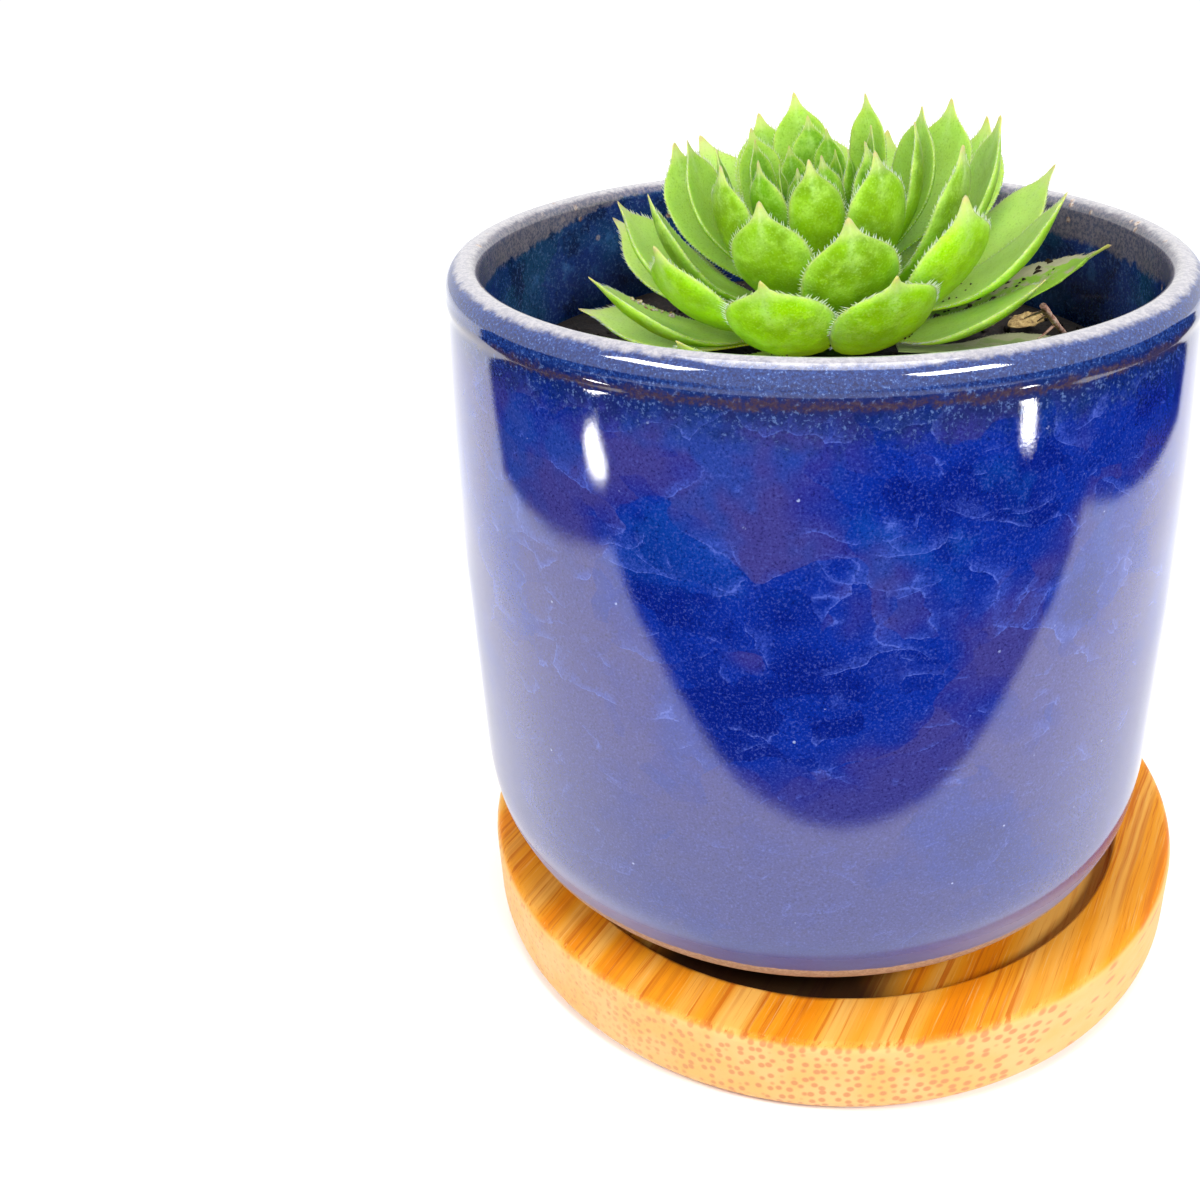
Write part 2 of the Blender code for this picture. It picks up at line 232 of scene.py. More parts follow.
# %% [markdown]
# ## Turned shapes
# The pot was thrown or cast round an axis, and the saucer was turned on a lathe. Both can be
# made from a ring of edges that is drawn up and widened step by step, as clay is drawn up on a
# wheel. The ring is a circle primitive, and each step is one extrusion and one resize.

# %% Helpers for turned shapes
TURN_SIDES = 192


def arc(centre, radius, start, end, steps):
    """Points of an arc in a profile, with angles in degrees from the outward direction."""
    angles = [math.radians(start + (end - start) * i / steps) for i in range(steps + 1)]
    return [(centre[0] + radius * math.cos(a), centre[1] + radius * math.sin(a)) for a in angles]


def start_ring(name, sides, **settings):
    """A ring of edges, left in edit mode with everything selected."""
    deselect()
    bpy.ops.mesh.primitive_circle_add(vertices=sides, **settings)
    bpy.ops.object.transform_apply(rotation=True)
    bpy.ops.object.mode_set(mode="EDIT")
    bpy.ops.mesh.select_all(action="SELECT")
    piece = bpy.context.object
    piece.name = name
    return piece


def next_ring(move, ratio, centre):
    bpy.ops.mesh.extrude_edges_move(TRANSFORM_OT_translate={"value": move})
    bpy.ops.transform.resize(value=ratio, center_override=centre)


def select_ends():
    bpy.ops.mesh.select_all(action="DESELECT")
    bpy.ops.mesh.select_non_manifold()


def draw_up(name, profile, axis, closed, sides=TURN_SIDES, sharp=35):
    """Draws a ring of edges through (radius, height) points, then closes it or bridges its ends."""
    piece = start_ring(name, sides, radius=profile[0][0], location=(*axis, profile[0][1]))
    for (radius, height), (wider, higher) in zip(profile, profile[1:]):
        next_ring((0, 0, higher - height), (wider / radius, wider / radius, 1), (*axis, higher))
    select_ends()
    if closed:
        bpy.ops.mesh.bridge_edge_loops()
    else:
        bpy.ops.mesh.fill_holes(sides=0)
        bpy.ops.mesh.poke()
    return settle(piece, sharp)


def settle(piece, sharp):
    """Turns all faces outwards, puts the place into the mesh, and shades smooth up to the sharp angle."""
    bpy.ops.object.mode_set(mode="EDIT")
    bpy.ops.mesh.select_all(action="SELECT")
    bpy.ops.mesh.normals_make_consistent(inside=False)
    bpy.ops.object.mode_set(mode="OBJECT")
    bpy.ops.object.transform_apply(location=True, rotation=True, scale=True)
    bpy.ops.object.shade_smooth_by_angle(angle=math.radians(sharp))
    return piece


def finish_piece(piece, material, node):
    """Gives a piece its material and slot, and lets it stand for its CAD node."""
    piece.data.materials.clear()
    piece.data.materials.append(material)
    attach(piece, "root")
    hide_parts(node)
    piece.data.calc_loop_triangles()
    print(piece.name, len(piece.data.loop_triangles), "triangles")
    return piece


# %% [markdown]
# ## Bamboo
# The saucer is cut from a board of glued bamboo strips. Bamboo is full of long dark fibre
# bundles that all run one way, so the same bundles show as streaks on the top and as dots
# where the round edge cuts across them. A pattern in all three dimensions, stretched along
# the grain, gives both at once, and no seam can show between top and edge. The front of the
# recess, under the pot's overhanging corner, is painted nearly black as shade.

# %% Bamboo finish
GRAIN_TURN = math.radians(67)
GRAIN_SHORTENED = 0.02
BUNDLES_APART, FINE_BUNDLES_APART = 1.05, 0.68  # millimetres
# The direction and half width, as angles, of the painted shade at the front of the recess
PAINTED_SHADE_TOWARDS = math.radians(-102)
PAINTED_SHADE_HALF = math.radians(24)


def bamboo_finish():
    bamboo = Finish("bamboo", Specular_IOR_Level=0.2)
    rise = bamboo.rise
    bent = bamboo.wander(bamboo.place(turn=GRAIN_TURN), 30, 1.2)
    along = bamboo.out("Mapping", {"Vector": bent, "Scale": (GRAIN_SHORTENED, 1, 1)})
    # The bundles lie closer together towards the side that was the outside of the stalk.
    dense = rise(bamboo.parts(bent)[1], -12, 26)
    wide = rise(bamboo.cells(along, BUNDLES_APART, randomness=0.6), 0.44, 0.22, 0.9)
    fine = rise(bamboo.cells(along, FINE_BUNDLES_APART, randomness=0.7), 0.46, 0.22, 0.65)
    bundle = bamboo.out("Mix", {0: dense, 2: wide, 3: fine})
    strips = bamboo.noise(along, 0.8, detail=4, rough=0.65)
    bands = bamboo.noise(along, 5)
    threads = bamboo.noise(along, 0.22, detail=3, rough=0.7)
    streaked = bamboo.layers(
        bamboo.ramp(bands, (0.36, (0.64, 0.19, 0.002)), (0.5, (0.66, 0.255, 0.01)), (0.64, (0.68, 0.36, 0.075))),
        ((0.46, 0.11, 0.003), (strips, 0.53, 0.64, 0.85)),
        ((0.66, 0.4, 0.13), (threads, 0.56, 0.72, 0.55)),
        ((0.44, 0.12, 0.01), (threads, 0.44, 0.32, 0.55)),
        ((0.4, 0.095, 0.008), bundle, 0.5))
    # Seen end on, on the edge, the straw is paler and the bundles are pinkish rings.
    dotted = bamboo.layers(
        bamboo.vary(bands, 0.35, 0.65, (0.66, 0.37, 0.11), (0.68, 0.41, 0.155)),
        ((0.53, 0.205, 0.08), bundle, 0.95))
    normal = bamboo.out("NewGeometry", {}, "Normal")
    colour = bamboo.vary(bamboo.apart(bamboo.parts(normal)[2], 0), 0.45, 0.85, dotted, streaked)
    # Painted shade: the front of the recess, under the pot's overhanging corner, is darkened nearly to black.
    radius, towards = bamboo.polar(bamboo.place())
    painted_shade_edge = bamboo.add(radius, bamboo.times(bands, 1.6))
    round_front = bamboo.apart(towards, PAINTED_SHADE_TOWARDS)
    colour = bamboo.layers(
        colour,
        ((0.006, 0.003, 0.004), (round_front, PAINTED_SHADE_HALF + 0.12, PAINTED_SHADE_HALF - 0.12),
         (painted_shade_edge, 37.6, 36.8), 0.96))
    grooves = bamboo.bump(bamboo.add(bamboo.times(bundle, -0.5), threads), 0.05, 0.35)
    return bamboo.set(Base_Color=colour, Roughness=rise(strips, 0.3, 0.8, 0.56, 0.42), Normal=grooves)


# %% Saucer
_, saucer_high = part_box("saucer")
SAUCER_RADIUS = saucer_high.x
SAUCER_TOP = saucer_high.z
RECESS_RADIUS = 36.1 * MM
RECESS_DEPTH = 2.3 * MM
RECESS_ROUND = 0.45 * MM
BOTTOM_ROUND = 2.6 * MM
TOP_ROUND = 1.1 * MM


def saucer_profile():
    floor = SAUCER_TOP - RECESS_DEPTH
    rings = [(r * MM, floor) for r in (1, 8, 20, 30)]
    rings += arc((RECESS_RADIUS - RECESS_ROUND, floor + RECESS_ROUND), RECESS_ROUND, -90, 0, 4)
    rings += arc((RECESS_RADIUS + RECESS_ROUND, SAUCER_TOP - RECESS_ROUND), RECESS_ROUND, 180, 90, 4)
    rings += arc((SAUCER_RADIUS - TOP_ROUND, SAUCER_TOP - TOP_ROUND), TOP_ROUND, 90, 0, 8)
    rings.append((SAUCER_RADIUS, (SAUCER_TOP + BOTTOM_ROUND) / 2))
    rings += arc((SAUCER_RADIUS - BOTTOM_ROUND, BOTTOM_ROUND), BOTTOM_ROUND, 0, -90, 10)
    return rings + [(r * MM, 0) for r in (28, 10, 1)]


saucer = draw_up("bamboo_saucer", saucer_profile(), (0, 0), closed=False)
finish_piece(saucer, bamboo_finish(), "saucer")

# %% [markdown]
# ## The glazed pot
# The pot is stoneware under a thick cobalt glaze. Inside the glaze lie pools of bluer and more
# violet colour, with short pale crack lines and a haze on some of their lower edges. The glaze
# breaks brown in a line at the ridge under the lip, and stops short of the foot, where bare clay
# shows. It is greyish on the crest and thin just inside it, and the grey there is partly thin
# glaze and partly a painted reflection of the white room. Low down it is painted paler towards
# the left and right sides, a painted reflection of the white sheet. The pools come from cells
# whose borders are bent by a noise, coloured by cell and lined along their borders. The height
# above the foot and the distance from the axis pick the places for the rest.

# %% Glaze finish
pot_low, pot_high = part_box("pot")
POT_AXIS = ((pot_low.x + pot_high.x) / 2, (pot_low.y + pot_high.y) / 2)
FOOT_Z = pot_low.z
RIM_Z = pot_high.z
# In millimetres, as the finish reads them
RIM_HEIGHT = (RIM_Z - FOOT_Z) / MM
RIDGE_HEIGHT = RIM_HEIGHT - 2.9
CLAY_HEIGHT = 7.7
INNER_RADIUS, OUTER_RADIUS = 36.65, 38.3
WIDE_POOLS, SMALL_POOLS = 12, 5


class Glaze(Finish):
    """The finish of the pot, with the places and noises that its layers share."""

    def __init__(self):
        super().__init__("cobalt_glaze", IOR=1.72)
        self.centre = (*POT_AXIS, FOOT_Z)
        self.at = self.place(centre=self.centre)
        self.x, _, self.height = self.parts(self.at)
        self.radius, self.towards = self.polar(self.at)
        self.inside = self.rise(self.radius, INNER_RADIUS + 0.25, INNER_RADIUS - 0.25)
        self.grain = self.noise(self.at, 0.24, detail=3, rough=0.7)
        self.flecks = self.noise(self.at, 0.42, detail=3, rough=0.75)
        self.ragged = self.math("SUBTRACT", self.noise(self.at, 1.5, detail=4, rough=0.7), 0.5)

    def ragged_height(self, reach):
        return self.add(self.height, self.times(self.ragged, reach))

    def patches(self, at, size, line_to, line_from, haze_to, some_size, some_from, some_to):
        """Patches about scattered points: the random kind, and a line and a haze on some lower edges."""
        middle = self.cells(at, size, "Position")
        drop = self.math("SUBTRACT", self.parts(at)[2], self.parts(middle)[2])
        kind = self.parts(self.cells(at, size, "Color"))[0]
        edge = self.cells(at, size, feature="DISTANCE_TO_EDGE")
        some = self.rise(self.noise(self.at, some_size, rough=0.6), some_from, some_to)
        low_fade = self.rise(self.height, 20, 42, 1, 0.35)
        some = self.times(some, self.rise(drop, 0.06 * size, -0.16 * size), low_fade)
        line = self.times(self.rise(edge, line_from, line_to), some)
        haze = self.times(self.rise(edge, haze_to, 0.01), some)
        return kind, line, haze

    def pools(self):
        """Bluer and more violet pools, wider than tall, in a level that the inner wall shares."""
        rise, height, grain = self.rise, self.height, self.grain
        flat = self.place(stretch=(1, 1, 1.45), centre=self.centre)
        bent = self.wander(self.wander(flat, 10, 9), 2.2, 1.3)
        wide_kind, wide_line, wide_haze = self.patches(bent, WIDE_POOLS, 0.004, 0.014, 0.14, 7, 0.48, 0.57)
        small_kind, small_line, small_haze = self.patches(bent, SMALL_POOLS, 0.008, 0.03, 0.16, 5, 0.55, 0.62)
        self.level = self.add(
            self.noise(self.at, 17, detail=3, rough=0.55),
            rise(wide_kind, 0, 1, 0.07, -0.07), rise(small_kind, 0, 1, 0.045, -0.045),
            rise(self.x, 6, -14, 0.07, -0.025), rise(self.x, 20, 32, 0.08), rise(height, 42, 26, 0.08))
        azure = self.noise(self.at, 11, detail=3, rough=0.6)
        line = self.math("MAXIMUM", wide_line, self.times(small_line, 0.8))
        haze = self.math("MAXIMUM", wide_haze, small_haze)
        bubble = rise(self.cells(self.at, 3.4), 0.055, 0.035)
        return self.layers(
            self.ramp(self.level, (0.36, (0.001, 0.009, 0.16)), (0.45, (0.002, 0.018, 0.23)),
                      (0.5, (0.006, 0.019, 0.21)), (0.55, (0.018, 0.021, 0.19)), (0.64, (0.034, 0.031, 0.175))),
            ((0.003, 0.042, 0.27), (azure, 0.5, 0.62), (height, 46, 58, 0.6)),
            ((0.014, 0.024, 0.15), (height, 40, 14, 0.6)),
            ((0.06, 0.085, 0.34), (grain, 0.51, 0.7, 0.5)),
            ((0.002, 0.003, 0.05), (grain, 0.48, 0.3, 0.65)),
            ((0.12, 0.17, 0.58), line, (grain, 0.38, 0.6, 0.65, 0.1)),
            ((0.045, 0.085, 0.42), haze, (grain, 0.35, 0.65, 0.5, 0.15)),
            ((0.3, 0.36, 0.62), bubble, (self.flecks, 0.45, 0.6, 0.8)))

    def lip(self, colour):
        """Under the ridge the glaze is darker and flecked, over the lip paler, and a brown line parts them."""
        rise, grain, flecks = self.rise, self.grain, self.flecks
        under = rise(self.ragged_height(7), RIDGE_HEIGHT - 5, RIDGE_HEIGHT - 0.5)
        over = rise(self.height, RIDGE_HEIGHT + 0.2, RIDGE_HEIGHT + 0.8)
        from_line = self.apart(self.ragged_height(2.6), RIDGE_HEIGHT - 0.35)
        return self.layers(
            colour,
            ((0.003, 0.012, 0.06), under, 0.72),
            ((0.11, 0.18, 0.4), under, (flecks, 0.54, 0.66, 0.7)),
            ((0.012, 0.044, 0.21), over, (flecks, 0.4, 0.6, 0.85, 0.3)),
            ((0.005, 0.009, 0.065), over, (grain, 0.52, 0.39, 0.8)),
            ((0.16, 0.26, 0.52), over, (grain, 0.59, 0.68, 0.6)),
            ((0.055, 0.03, 0.034), (from_line, 0.7, 0.1),
             (self.radius, OUTER_RADIUS - 0.3, OUTER_RADIUS + 0.3), (flecks, 0.38, 0.58, 0.85, 0.2)))

    def wall(self, colour):
        """Inside, the wall is teal to navy with pale flecks and rusty spots. At the rim it is greyish, partly thin
        glaze and partly a painted reflection of the white room.
        """
        rise, grain, flecks, inside = self.rise, self.grain, self.flecks, self.inside
        smudge = self.noise(self.at, 6, detail=4, rough=0.65)
        wall = self.layers(
            self.ramp(self.level, (0.42, (0.008, 0.052, 0.125)), (0.58, (0.009, 0.032, 0.16))),
            ((0.003, 0.012, 0.05), (smudge, 0.5, 0.38, 0.85)),
            ((0.04, 0.13, 0.33), (smudge, 0.55, 0.66, 0.6)),
            ((0.09, 0.17, 0.36), (flecks, 0.5, 0.68, 0.55)),
            ((0.002, 0.008, 0.03), (grain, 0.48, 0.32, 0.6)))
        # The greyish band, partly thin glaze and partly a painted reflection of the white room, reaches further down at
        # the back right and the back left.
        right_back = rise(self.apart(self.towards, 0.45), 1.1, 0.25, 4.6, 1)
        left_back = rise(self.apart(self.towards, 0), 2.2, 2.9, 3)
        above = self.add(self.ragged_height(2.6), right_back, left_back)
        spots = rise(self.cells(self.at, 1.9), 0.26, 0.12)
        return self.layers(
            colour,
            (wall, inside, 0.92),
            # Painted reflection as well as thin glaze: the greyish band just inside the rim.
            (self.vary(flecks, 0.4, 0.6, (0.1, 0.1, 0.14), (0.22, 0.19, 0.21)),
             (above, RIM_HEIGHT - 0.2, RIM_HEIGHT + 0.5), inside, 0.85),
            # Painted reflection as well as thin glaze: the crest is painted pale grey all round.
            (self.vary(flecks, 0.4, 0.62, (0.32, 0.31, 0.335), (0.44, 0.42, 0.43)),
             (self.ragged_height(0.8), RIM_HEIGHT - 0.48, RIM_HEIGHT - 0.06), 0.9),
            (self.vary(flecks, 0.42, 0.58, (0.3, 0.15, 0.07), (0.62, 0.52, 0.44)),
             spots, (self.noise(self.at, 7), 0.54, 0.62), (self.height, RIM_HEIGHT - 7, RIM_HEIGHT - 4),
             inside, 0.8))


def glaze_finish():
    glaze = Glaze()
    rise = glaze.rise
    # Towards the corner the glaze thins and dulls, and below it the clay is bare. Low down it is painted paler grey
    # towards the left and right sides, a painted reflection of the white sheet.
    foot = glaze.ragged_height(0.7)
    clay = rise(foot, CLAY_HEIGHT + 0.1, CLAY_HEIGHT - 0.1)
    thin_glaze_and_painted_reflection = glaze.vary(glaze.apart(glaze.x, 0), 6, 26, (0.08, 0.105, 0.24), (0.3, 0.31, 0.43))
    colour = glaze.layers(
        glaze.wall(glaze.lip(glaze.pools())),
        (thin_glaze_and_painted_reflection, (foot, 14, 8.5, 0.65)),
        (glaze.vary(glaze.flecks, 0.35, 0.7, (0.3, 0.17, 0.1), (0.45, 0.28, 0.18)), clay))
    rough = glaze.mix(clay, rise(foot, 13, 8.5, 0.38, 0.02), (0.8, 0.8, 0.8))
    waves = glaze.bump(glaze.noise(glaze.at, 8), 0.03, 0.6)
    pits = glaze.bump(glaze.grain, 0.008, 0.5, under=waves)
    sheen = rise(foot, 9.5, 14, 0.5, 0.18)
    return glaze.set(Base_Color=colour, Roughness=rough, Specular_IOR_Level=sheen, Normal=pits)


# %% Pot
WALL_RADIUS, RIDGE_RADIUS = 40.2, 39
TAPER_FROM, RIDGE_AT = 45, 69.6
RIDGE_PROUD = 0.14


def body_radius(height):
    """The outer radius at this height above the foot, in millimetres, up to the ridge."""
    share = max(0, (height - TAPER_FROM) / (RIDGE_AT - TAPER_FROM))
    return WALL_RADIUS - (WALL_RADIUS - RIDGE_RADIUS) * share ** 1.5


# The lower corner and its undercut down to the foot ring: radius, height.
CORNER = ((32.6, 1.2), (32.6, 2.1), (32.72, 2.5), (33.1, 2.85), (34.2, 3.4), (35.2, 3.9), (36.3, 4.5), (37.1, 5.1),
          (37.5, 5.5), (37.8, 5.9), (38.07, 6.3), (38.3, 6.7), (38.7, 7.6), (39.1, 8.6), (39.55, 9.9), (39.74, 10.7),
          (39.88, 11.5), (40, 12.35), (40.08, 13.2), (40.15, 14.3), (40.2, 15.5), (40.2, 19))


def pot_profile():
    """The pot's section in millimetres above its foot, from the drain hole out and over the rim."""
    points = [(4, 6.2), (4, 5), (4, 1.6), (4.3, 1.4), (12, 1.4), (22, 1.4), (27.9, 1.35),
              (28.2, 0.6), (28.5, 0.05), (28.8, 0), (31.8, 0)]
    points += arc((32.2, 0.4), 0.4, -90, 0, 3)
    points += CORNER
    points += [(body_radius(h), h) for h in (25, 31, 38, 45, 49, 53, 57, 61, 64, 66.5)]
    for height in (67.4, 68, 68.5, 68.8, 69.1, 69.35, 69.6, 69.85, 70.1):
        ridge = RIDGE_PROUD * math.exp(-((height - RIDGE_AT) / 0.6) ** 2)
        points.append((body_radius(min(height, RIDGE_AT)) + ridge, height))
    points += arc((36.8, 70.3), 2.2, 3, 90, 12)
    points += arc((36.8, 71.1), 1.4, 97, 180, 9)
    points += [(35.45, 69.6), (35.6, 66), (35.8, 58), (36, 45), (36, 28)]
    points += arc((31, 11.4), 5, 0, -90, 8)
    points += [(r, 6.4) for r in (22, 12, 4.3)]
    return [(radius * MM, FOOT_Z + height * MM) for radius, height in points]


pot = draw_up("glazed_pot", pot_profile(), POT_AXIS, closed=True)
finish_piece(pot, glaze_finish(), "pot")

# %% [markdown]
# ## The soil
# The soil is a dark peat mix with grit, filled to a little below the rim. Its block is drawn up
# like the pot. The top is then roughened by a Displace modifier, and crumbs are scattered
# on it. Each crumb is a copy of one of a few lumps, joined into the soil as loose grains are.

# %% Soil
SOIL_DROP = 13.3 * MM
SOIL_RADIUS = 34.8 * MM
SOIL_BOTTOM = FOOT_Z + 6.7 * MM
MOUND_RISE = 1 * MM
MOUND_FLAT = 5 * MM
CRUMB_KINDS = 4
CRUMBS_A_KIND = 105
CRUMB_SIZES = (0.2, 0.3, 0.3, 0.4, 0.5, 0.7)  # as shares of a lump of one millimetre
CRUMB_SUNK = 0.35 * MM
rng = random.Random(11)


def soil_height(radius):
    share = min(1, max(0, (radius - MOUND_FLAT) / (SOIL_RADIUS - MOUND_FLAT)))
    return RIM_Z - SOIL_DROP + MOUND_RISE * (1 - share) ** 2


def soil_finish():
    earth = Finish("peat_soil", Specular_IOR_Level=0.25)
    at = earth.place()
    grit = earth.noise(at, 0.5, detail=4, rough=0.7)
    lumps = earth.noise(at, 3, detail=3)
    colour = earth.layers(
        earth.ramp(grit, (0.35, (0.003, 0.002, 0.002)), (0.55, (0.01, 0.007, 0.006)), (0.72, (0.038, 0.025, 0.017))),
        ((0.016, 0.01, 0.007), (lumps, 0.45, 0.75, 0.5)),
        ((0.2, 0.15, 0.1), (earth.cells(at, 2), 0.16, 0.1), 0.5))
    rough = earth.rise(lumps, 0.3, 0.7, 0.95, 0.75)
    return earth.set(Base_Color=colour, Roughness=rough, Normal=earth.bump(grit, 0.25, 0.8))


def soil_profile():
    rings = [(r * MM, soil_height(r * MM)) for r in np.linspace(0.6, 33.8, 44)]
    rings += arc((SOIL_RADIUS - 1 * MM, RIM_Z - SOIL_DROP - 1 * MM), 1 * MM, 80, 0, 3)
    rings += arc((SOIL_RADIUS - 5 * MM, SOIL_BOTTOM + 5 * MM), 5 * MM, 0, -90, 5)
    return rings + [(10 * MM, SOIL_BOTTOM)]


def lump(seed):
    """A small broken lump: a sphere of twenty faces with its corners pushed about."""
    deselect()
    bpy.ops.mesh.primitive_ico_sphere_add(subdivisions=1, radius=1 * MM)
    made = bpy.context.object
    chance = random.Random(seed)
    for vert in made.data.vertices:
        vert.co *= chance.uniform(0.65, 1.2)
    return made


def copies(model, places):
    """Copies of one model, each with its own mesh, at these (place, turn, scale)."""
    made = []
    for place, turn, scale in places:
        new = new_object(model.name, model.data.copy())
        new.location, new.rotation_euler, new.scale = place, turn, scale
        made.append(new)
    return made


def join(into, others):
    select(*others, into)
    bpy.ops.object.join()
    bpy.ops.object.transform_apply(location=True, rotation=True, scale=True)
    return into


def any_turn(chance):
    return [chance.uniform(0, 2 * math.pi) for _ in range(3)]


def displace(piece, texture_size, octaves, strength, **settings):
    """Roughens a mesh with a Displace modifier that reads a clouds texture."""
    clouds = bpy.data.textures.new(piece.name, "CLOUDS")
    clouds.noise_scale = texture_size
    clouds.noise_depth = octaves
    select(piece)
    modifier = piece.modifiers.new("displace", "DISPLACE")
    modifier.texture = clouds
    modifier.texture_coords = "LOCAL"
    modifier.strength = strength
    for key, value in settings.items():
        setattr(modifier, key, value)
    bpy.ops.object.modifier_apply(modifier=modifier.name)


soil = draw_up("potting_soil", soil_profile(), POT_AXIS, closed=False, sides=144, sharp=60)
top = soil.vertex_groups.new(name="top")
top.add([v.index for v in soil.data.vertices if v.co.z > RIM_Z - SOIL_DROP - 0.2 * MM], 1, "REPLACE")
displace(soil, 2.6 * MM, 3, 1.5 * MM, direction="Z", vertex_group="top", mid_level=0.75)

crumbs = []
for kind in range(CRUMB_KINDS):
    places = []
    for _ in range(CRUMBS_A_KIND):
        radius = SOIL_RADIUS * math.sqrt(rng.uniform(0.08, 0.93))
        angle = rng.uniform(0, 2 * math.pi)
        size = rng.choice(CRUMB_SIZES) * rng.uniform(0.8, 1.2)
        x, y = POT_AXIS[0] + radius * math.cos(angle), POT_AXIS[1] + radius * math.sin(angle)
        spot = (x, y, soil_height(radius) - CRUMB_SUNK)
        places.append((spot, any_turn(rng), (size, size * rng.uniform(0.6, 1), size * rng.uniform(0.5, 0.9))))
    model = lump(kind)
    crumbs += copies(model, places)
    bpy.data.objects.remove(model)
join(soil, crumbs)
finish_piece(soil, soil_finish(), "soil")

# %% [markdown]
# ## One leaf
# A houseleek leaf is broad above its middle, narrows to a sharp drawn out point, is nearly
# flat inside and full on its back, and has a fringe of short stiff hairs along both margins.
# One straight leaf is modelled from a circle, extruded and resized section by section, and its
# hairs are copies of one three sided cone. Every leaf of the plant is a bent copy of it.
# Crumbs of peat and chaff lie on a few leaves, so those bend a copy with crumbs on it.

# %% A straight leaf
LEAF_LENGTH = 20 * MM
LEAF_HALF = 5 * MM
LEAF_DEEP = 1.4 * MM
LEAF_SIDES = 20
LEAF_RINGS = 32
LEAST_SHARE = 0.02  # keeps the sections at both ends from closing
HAIRS = 48  # on each margin
HAIR_THICK, HAIR_LONG, HAIR_SUNK = 0.11 * MM, 1 * MM, 0.05 * MM
FRINGE = (0.22, 0.955)
BLADE = ((0, 0), (0.14, 0.1), (0.32, 0.42), (0.5, 0.78), (0.62, 0.96), (0.7, 1), (0.78, 0.95),
         (0.84, 0.81), (0.885, 0.56), (0.915, 0.33), (0.94, 0.2), (0.97, 0.11), (1, 0.03))
# A few of the outer leaves are blunter, with a short narrow point.
BLUNT_BLADE = ((0, 0), (0.14, 0.1), (0.32, 0.42), (0.5, 0.78), (0.62, 0.96), (0.72, 1.02), (0.8, 1),
               (0.86, 0.89), (0.9, 0.68), (0.925, 0.42), (0.94, 0.23), (0.955, 0.13), (0.98, 0.07), (1, 0.02))
DEPTH = ((0, 0.3), (0.14, 0.42), (0.32, 0.7), (0.5, 0.95), (0.64, 1), (0.75, 0.9),
         (0.84, 0.72), (0.91, 0.45), (0.96, 0.22), (1, 0.08))


def smooth(knots, place):
    """The value at this place on a smooth curve through the knots."""
    places, values = zip(*knots)
    slopes = np.gradient(values, places)
    i = int(np.clip(np.searchsorted(places, place, side="right") - 1, 0, len(knots) - 2))
    step = places[i + 1] - places[i]
    t = (place - places[i]) / step
    start, end = values[i], values[i + 1]
    lean, land = slopes[i] * step, slopes[i + 1] * step
    return start + t * lean + t * t * (3 * (end - start) - 2 * lean - land) + t ** 3 * (2 * (start - end) + lean + land)


def width(along):
    """The straight leaf's half width, as a share of its widest."""
    return max(smooth(BLADE, along), LEAST_SHARE)


def keep(mesh, name, values):
    """Stores one number for each point of a mesh, or the same for all, for a finish to read."""
    if name in mesh.attributes:
        mesh.attributes.remove(mesh.attributes[name])
    layer = mesh.attributes.new(name, "FLOAT", "POINT")
    layer.data.foreach_set("value", np.full(len(mesh.vertices), values, np.float32))


def fringe_places():
    """Where the hairs stand on one margin: evenly along the outline, with a little disorder."""
    along = np.linspace(*FRINGE, 400)
    outline = np.array([smooth(BLADE, a) * LEAF_HALF for a in along])
    run = np.concatenate([[0], np.cumsum(np.hypot(np.diff(along) * LEAF_LENGTH, np.diff(outline)))])
    wanted = [(i + rng.uniform(-0.3, 0.3)) * run[-1] / HAIRS for i in range(HAIRS)]
    return np.interp(np.clip(wanted, 0, run[-1]), run, along)


def straight_leaf():
    leaf = start_ring("straight_leaf", LEAF_SIDES, radius=1, rotation=(0, math.pi / 2, 0))
    stations = [1 - (1 - i / LEAF_RINGS) ** 1.35 for i in range(LEAF_RINGS + 1)]
    sizes = [(width(a) * LEAF_HALF, smooth(DEPTH, a) * LEAF_DEEP) for a in stations]
    bpy.ops.transform.resize(value=(1, *sizes[0]), center_override=(0, 0, 0))
    for i in range(LEAF_RINGS):
        step = (stations[i + 1] - stations[i]) * LEAF_LENGTH
        ratio = [b / a for a, b in zip(sizes[i], sizes[i + 1])]
        next_ring((step, 0, 0), (1, *ratio), (stations[i + 1] * LEAF_LENGTH, 0, 0))
    bpy.ops.mesh.merge(type="CENTER")
    select_ends()
    bpy.ops.mesh.fill_holes(sides=0)
    settle(leaf, 70)
    keep(leaf.data, "hair", 0)
    return leaf


def add_fringe(leaf):
    """Copies of one hair along both margins, leaning a little towards the leaf's point."""
    deselect()
    root = (0, 0, HAIR_LONG / 2 - HAIR_SUNK)
    bpy.ops.mesh.primitive_cone_add(vertices=3, radius1=HAIR_THICK, radius2=0, depth=HAIR_LONG, location=root)
    hair = bpy.context.object
    bpy.ops.object.transform_apply(location=True)
    keep(hair.data, "hair", 1)
    places = []
    for side in (-1, 1):
        for along in fringe_places():
            half = smooth(BLADE, along) * LEAF_HALF
            ahead = (smooth(BLADE, min(along + 0.01, 1)) - smooth(BLADE, along - 0.01)) * LEAF_HALF
            out = math.atan2(0.02 * LEAF_LENGTH * side, -ahead) - side * rng.uniform(0.1, 0.6)
            tilt = rng.uniform(-0.45, 0.45)
            direction = Vector((math.cos(out), math.sin(out), tilt)).normalized()
            turn = direction.to_track_quat("Z", "X").to_euler()
            places.append(((along * LEAF_LENGTH, side * half, 0), turn, (1, 1, rng.uniform(0.3, 0.55))))
    made = copies(hair, places)
    bpy.data.objects.remove(hair)
    return join(leaf, made)


